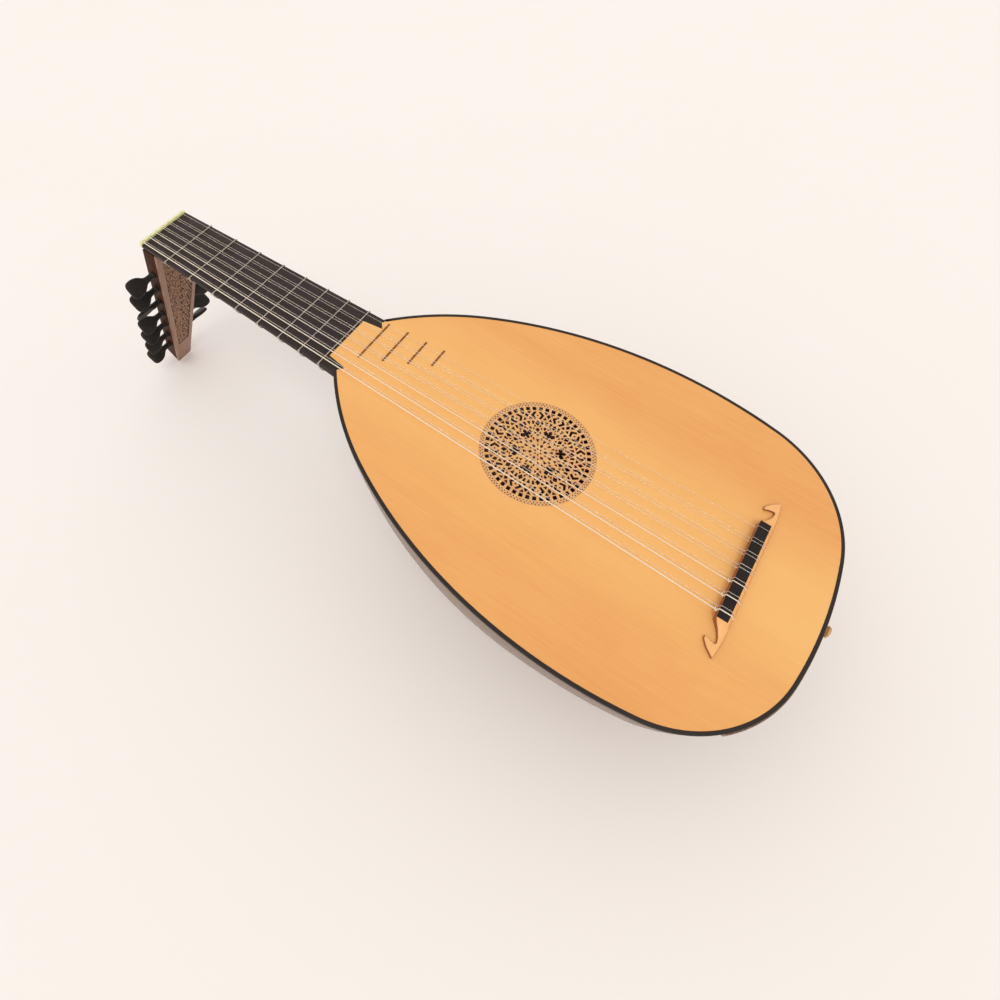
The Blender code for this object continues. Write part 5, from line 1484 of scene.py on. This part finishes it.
def makeString(number):
    radius = stringRadius(number)
    farY, nearY = bridgeY(number), nutY(number)
    front, back = strings["length"], strings["length"] + bridgeShape["topWidth"]
    hole, top = bridgeShape["holeHeight"], bridgeTop()
    clear = radius + 0.00005
    slope = bridgeShape["heel"] / (bridgeShape["baseHeight"] - bridgeShape["tipHeight"] * 0.5)
    exitX = back + slope * (bridgeShape["baseHeight"] - hole)
    wrap = 2.0 * radius
    path = [Vector((front - 0.0030, farY + wrap, hole + 0.0010)),
            Vector((front - 0.0027, farY + wrap * 0.9, hole + 0.0006))]
    knotTurns = 1.25
    for k in range(16):                     # turns of the knot round the string itself
        share = k / 15.0
        turn = math.pi * 0.25 + 2.0 * math.pi * knotTurns * share
        path.append(Vector((front - 0.0024 + 0.0016 * share, farY + wrap * math.sin(turn),
                            hole + wrap * math.cos(turn))))
    path += [Vector((front - clear - 0.0004, farY, hole + 0.0016)),
             Vector((front - clear - 0.0001, farY, top - 0.0006)),
             Vector((front - clear * 0.6, farY, top + clear * 0.6 - 0.0001)),
             Vector((front + 0.0003, farY, top + clear)),
             Vector((back - 0.0003, farY, top + clear)),
             Vector((back + clear * 0.6, farY, top + clear * 0.6 - 0.0001)),
             Vector((back + clear, farY, top - 0.0006)),
             Vector((exitX + 0.0010, farY, hole + 0.0014)),
             Vector((exitX + 0.0011, farY, hole + 0.0005)),
             Vector((exitX + 0.0006, farY, hole)),
             Vector((front - 0.0010, farY, hole)),
             Vector((front - 0.0060, farY + (nearY - farY) * 0.01, hole - 0.0001))]
    rest = nutShape["slotHeight"] + radius + 0.00002
    bend = radius + 0.0004
    path.append(Vector((nutShape["face"], nearY, rest)))
    for k in range(7):
        turn = math.radians(90.0 + 72.0 * k / 6.0)
        path.append(Vector((nutShape["back"] + bend * math.cos(turn), nearY,
                            rest - bend + bend * math.sin(turn))))
    path += windingPoints(number, path[-1])
    bright = number in strings["bright"]
    material = finish["whiteBass" if bright else "clearGut"]
    mesh = cordMesh([(path, radius)], material, 10)
    node = "string_%02d" % (number + 1)
    addPiece("gutString%02d" % (number + 1), mesh, material, "root", [node])


for stringNumber in range(len(strings["diameters"])):
    makeString(stringNumber)


# The tied frets, each on its own sliding body
frets = {"count": 8, "ruleLength": 0.600, "radius": 0.00045, "knotRadius": 0.00045,
         "knotCord": 0.00030, "clearance": 0.0002, "slide": 0.0030}


def makeTiedFret(number):
    x = frets["ruleLength"] * (1.0 - 2.0 ** (-(number + 1) / 12.0))
    radius = frets["radius"]
    out = radius + frets["clearance"]
    limitX = x + frets["slide"]             # where the neck is widest under a moved loop
    half = neckHalf(limitX) + out
    lower = neckSection(limitX, out, 32)
    loop = [(half - 0.0005, radius), (0.0, radius), (-half + 0.0006, radius)]
    loop += [(-half + 0.0001, radius * 0.4), (-half - 0.0001, -0.0008)]
    loop += lower[1:-1]
    loop += [(half + 0.0001, -0.0010), (half, radius * 0.3)]
    points = [Vector((x, y, z)) for y, z in loop]
    points.append(points[0].copy())
    knot = Vector((x, -half - 0.0002, -0.0003))
    coil, thin = frets["knotRadius"], frets["knotCord"]
    lines = [(points, radius)]
    turns = []
    for k in range(33):                     # two turns that make the knot
        share = k / 32.0
        turn = 4.0 * math.pi * share
        turns.append(knot + Vector((0.0014 * (share - 0.5), -coil * math.cos(turn),
                                    coil * math.sin(turn))))
    lines.append((turns, thin))
    for side in (-1.0, 1.0):                # the two ends, each with a burnt bead
        stub = [knot + Vector((side * 0.0004, -0.0001, 0.0)),
                knot + Vector((side * 0.0007, -0.0010, 0.0002)),
                knot + Vector((side * 0.0008, -0.0016, 0.0002)),
                knot + Vector((side * 0.0008, -0.0019, 0.0002))]
        lines.append((stub, [thin, thin, thin * 1.3, thin * 0.8]))
    name = "fret_%d" % (number + 1)
    addPiece("tiedGutFret%d" % (number + 1), cordMesh(lines, finish["fretGut"], 10),
             finish["fretGut"], name, [name])


for fretNumber in range(frets["count"]):
    makeTiedFret(fretNumber)
print("strings and frets made")


# The rose: one thin plate pierced with rings of holes. A hole is drawn in millimetres,
# first across the ring and then outwards, and stands at so many places round the middle.
roseShape = {
    "top": -0.00005,
    "thickness": 0.0012,
    "chamfer": 0.0002,
    "rings": (
        {"at": 46.95, "count": 104, "shift": 0.0,
         "holes": [((-0.40, -0.40), (0.40, -0.40), (0.40, 0.40), (-0.40, 0.40))]},
        {"at": 45.45, "count": 104, "shift": 0.5,
         "holes": [((-0.40, -0.40), (0.40, -0.40), (0.40, 0.40), (-0.40, 0.40))]},
        {"at": 42.1, "count": 48, "shift": 0.5,
         "holes": [((-1.5, -1.6), (1.5, -1.6), (1.6, 1.6), (-1.6, 1.6))]},
        {"at": 35.4, "count": 12, "shift": 0.0,
         "holes": [((-5.7, 0.0), (-2.7, 3.9), (-0.9, 3.2), (-3.2, 0.0), (-0.9, -3.2), (-2.7, -3.9)),
                   ((5.7, 0.0), (2.7, 3.9), (0.9, 3.2), (3.2, 0.0), (0.9, -3.2), (2.7, -3.9)),
                   ((-0.9, 0.0), (0.0, 0.9), (0.9, 0.0), (0.0, -0.9))]},
        {"at": 35.4, "count": 12, "shift": 0.5,
         "holes": [((-4.8, 4.0), (-1.3, 4.0), (-2.4, 1.5)), ((4.8, 4.0), (1.3, 4.0), (2.4, 1.5)),
                   ((0.0, 3.0), (1.7, 0.6), (0.0, -1.8), (-1.7, 0.6)),
                   ((-3.9, -3.9), (-0.8, -3.7), (-2.3, -1.1)),
                   ((3.9, -3.9), (0.8, -3.7), (2.3, -1.1))]},
        {"at": 27.2, "count": 12, "shift": 0.0,
         "holes": [((0.0, 3.1), (2.1, 0.6), (0.0, -2.2), (-2.1, 0.6)),
                   ((-4.7, 2.7), (-2.6, 2.6), (-3.3, -0.9), (-4.6, -0.5)),
                   ((4.7, 2.7), (2.6, 2.6), (3.3, -0.9), (4.6, -0.5)),
                   ((-2.4, -0.9), (-1.1, -3.1), (-3.2, -2.9)),
                   ((2.4, -0.9), (1.1, -3.1), (3.2, -2.9))]},
        {"at": 28.0, "count": 12, "shift": 0.5,
         "holes": [((-1.5, 1.9), (1.5, 1.9), (0.0, -1.6))]},
        {"at": 18.4, "count": 6, "shift": 0.5,
         "holes": [((0.0, 5.2), (1.7, 3.4), (1.0, 1.5), (4.2, 3.0), (5.3, 0.4), (3.0, -1.6),
                    (1.2, -0.6), (1.0, -3.8), (-1.0, -3.8), (-1.2, -0.6), (-3.0, -1.6),
                    (-5.3, 0.4), (-4.2, 3.0), (-1.0, 1.5), (-1.7, 3.4)),
                   ((-4.3, 5.2), (-2.4, 5.2), (-3.2, 3.9)),
                   ((4.3, 5.2), (2.4, 5.2), (3.2, 3.9)),
                   ((-2.0, -2.4), (-4.0, -2.6), (-2.2, -4.5)),
                   ((2.0, -2.4), (4.0, -2.6), (2.2, -4.5))]},
        {"at": 18.8, "count": 6, "shift": 0.0,
         "holes": [((0.0, 4.6), (1.9, 2.4), (0.0, 0.2), (-1.9, 2.4)),
                   ((-2.6, 0.9), (-1.0, -0.7), (-2.7, -1.9)),
                   ((2.6, 0.9), (1.0, -0.7), (2.7, -1.9)),
                   ((-1.3, -2.1), (1.3, -2.1), (0.0, -4.4)),
                   ((-4.1, 4.2), (-2.4, 4.3), (-3.2, 2.2)),
                   ((4.1, 4.2), (2.4, 4.3), (3.2, 2.2))]},
        {"at": 23.1, "count": 12, "shift": 0.5,
         "holes": [((0.0, 2.0), (1.3, 0.3), (0.0, -1.8), (-1.3, 0.3))]},
        {"at": 13.3, "count": 12, "shift": 0.5,
         "holes": [((0.0, 1.3), (0.8, 0.0), (0.0, -2.0), (-0.8, 0.0))]},
        {"at": 10.4, "count": 12, "shift": 0.0,
         "holes": [((-1.3, 1.8), (1.3, 1.8), (0.0, -1.5))]},
        {"at": 6.3, "count": 6, "shift": 0.5,
         "holes": [((0.0, 1.8), (1.4, 0.1), (0.0, -1.6), (-1.4, 0.1))]},
        {"at": 6.5, "count": 6, "shift": 0.0,
         "holes": [((-0.7, 0.9), (0.7, 0.9), (0.0, -0.8))]},
        {"at": 2.6, "count": 6, "shift": 0.0,
         "holes": [((0.0, 1.2), (0.75, -0.6), (-0.75, -0.6))]},
    ),
}


def roseHole(hole, at, turn):
    # One hole's outline, carried from its own millimetres to its place in the ring
    middle = boardShape["rose"][0]
    out = Vector((math.cos(turn), math.sin(turn)))
    side = Vector((-out.y, out.x))
    spots = [out * (at + rise) / 1000.0 + side * across / 1000.0 for across, rise in hole]
    return [(middle + p.x, p.y) for p in spots]


def makeRose():
    loops = [roseCircle(boardShape["rose"][1] - 0.00004, 128)]
    for ring in roseShape["rings"]:
        for k in range(ring["count"]):
            turn = 2.0 * math.pi * (k + ring["shift"]) / ring["count"]
            loops += [roseHole(hole, ring["at"], turn) for hole in ring["holes"]]
    low = roseShape["top"] - roseShape["thickness"]
    mesh = bevelled(plate(loops, low, roseShape["top"]), roseShape["chamfer"], 1, 40.0, 30.0)
    addPiece("piercedRose", mesh, finish["carvedSpruce"], "root", ["rose"])
    print("holes in the rose:", len(loops) - 1)


makeRose()
print("rose made")


# Frame pieces that stay as they are get a detailed finish
for node, key, slotName in (("neck_block", "blockWood", "block_wood"),
                            ("tail_block", "blockWood", "block_wood")):
    frame["nodes"][node].data.materials.clear()
    frame["nodes"][node].data.materials.append(finish[key])


# Floor, soft sun and sky
studio = {
    "floorColor": srgb(252, 243, 236),
    "floorPatch": srgb(251, 242, 234),
    "floorSize": 14.0,
    "skyColor": (1.0, 1.0, 1.0, 1.0),
    "skyStrength": 0.82,
    "sunStrength": 0.765,
    "sunSpread": 24.0,
    "sunFrom": (0.45, -0.40, 0.80),
}


def makeFloor():
    bm = bmesh.new()
    half = studio["floorSize"] / 2.0
    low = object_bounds()[0].z - 0.0001
    bm.faces.new([bm.verts.new(p) for p in ((-half, -half, low), (half, -half, low),
                                            (half, half, low), (-half, half, low))])
    floor = bpy.data.objects.new("paleFloor", meshFrom(bm))
    bpy.context.scene.collection.objects.link(floor)
    material, tree, shader = newMaterial("palePaper", 0.95)
    vector = place(tree, "ShaderNodeTexCoord").outputs["Object"]
    tone = place(tree, "ShaderNodeTexNoise", {"Vector": vector, "Scale": 2.0})
    mixed = place(tree, "ShaderNodeMix", {
        0: tone.outputs["Fac"], 6: studio["floorColor"], 7: studio["floorPatch"]},
        data_type="RGBA")
    tree.links.new(mixed.outputs[2], shader.inputs["Base Color"])
    shader.inputs["Specular IOR Level"].default_value = 0.1
    floor.data.materials.append(material)


def makeSky():
    # Even white light; where the camera or a gloss looks past the floor it sees the floor's colour
    world = bpy.data.worlds.new("softRoom")
    bpy.context.scene.world = world
    world.use_nodes = True
    tree = world.node_tree
    light = tree.nodes["Background"]
    light.inputs["Color"].default_value = studio["skyColor"]
    light.inputs["Strength"].default_value = studio["skyStrength"]
    seen = place(tree, "ShaderNodeBackground", {"Color": studio["floorColor"]})
    rays = place(tree, "ShaderNodeLightPath").outputs
    direct = calc(tree, "MAXIMUM", rays["Is Camera Ray"], rays["Is Transmission Ray"])
    direct = calc(tree, "MAXIMUM", direct, rays["Is Glossy Ray"])
    both = place(tree, "ShaderNodeMixShader", {0: direct, 1: light.outputs[0],
                                               2: seen.outputs[0]})
    tree.links.new(both.outputs[0], tree.nodes["World Output"].inputs["Surface"])


def makeSun():
    data = bpy.data.lights.new("softSun", "SUN")
    data.energy = studio["sunStrength"]
    data.angle = math.radians(studio["sunSpread"])
    lamp = bpy.data.objects.new("softSun", data)
    bpy.context.scene.collection.objects.link(lamp)
    lamp.location = studio["sunFrom"]
    lamp.rotation_euler = Vector(studio["sunFrom"]).to_track_quat("Z", "Y").to_euler()


makeFloor()
makeSky()
makeSun()
bpy.context.scene.view_settings.view_transform = "Standard"
print("studio made")
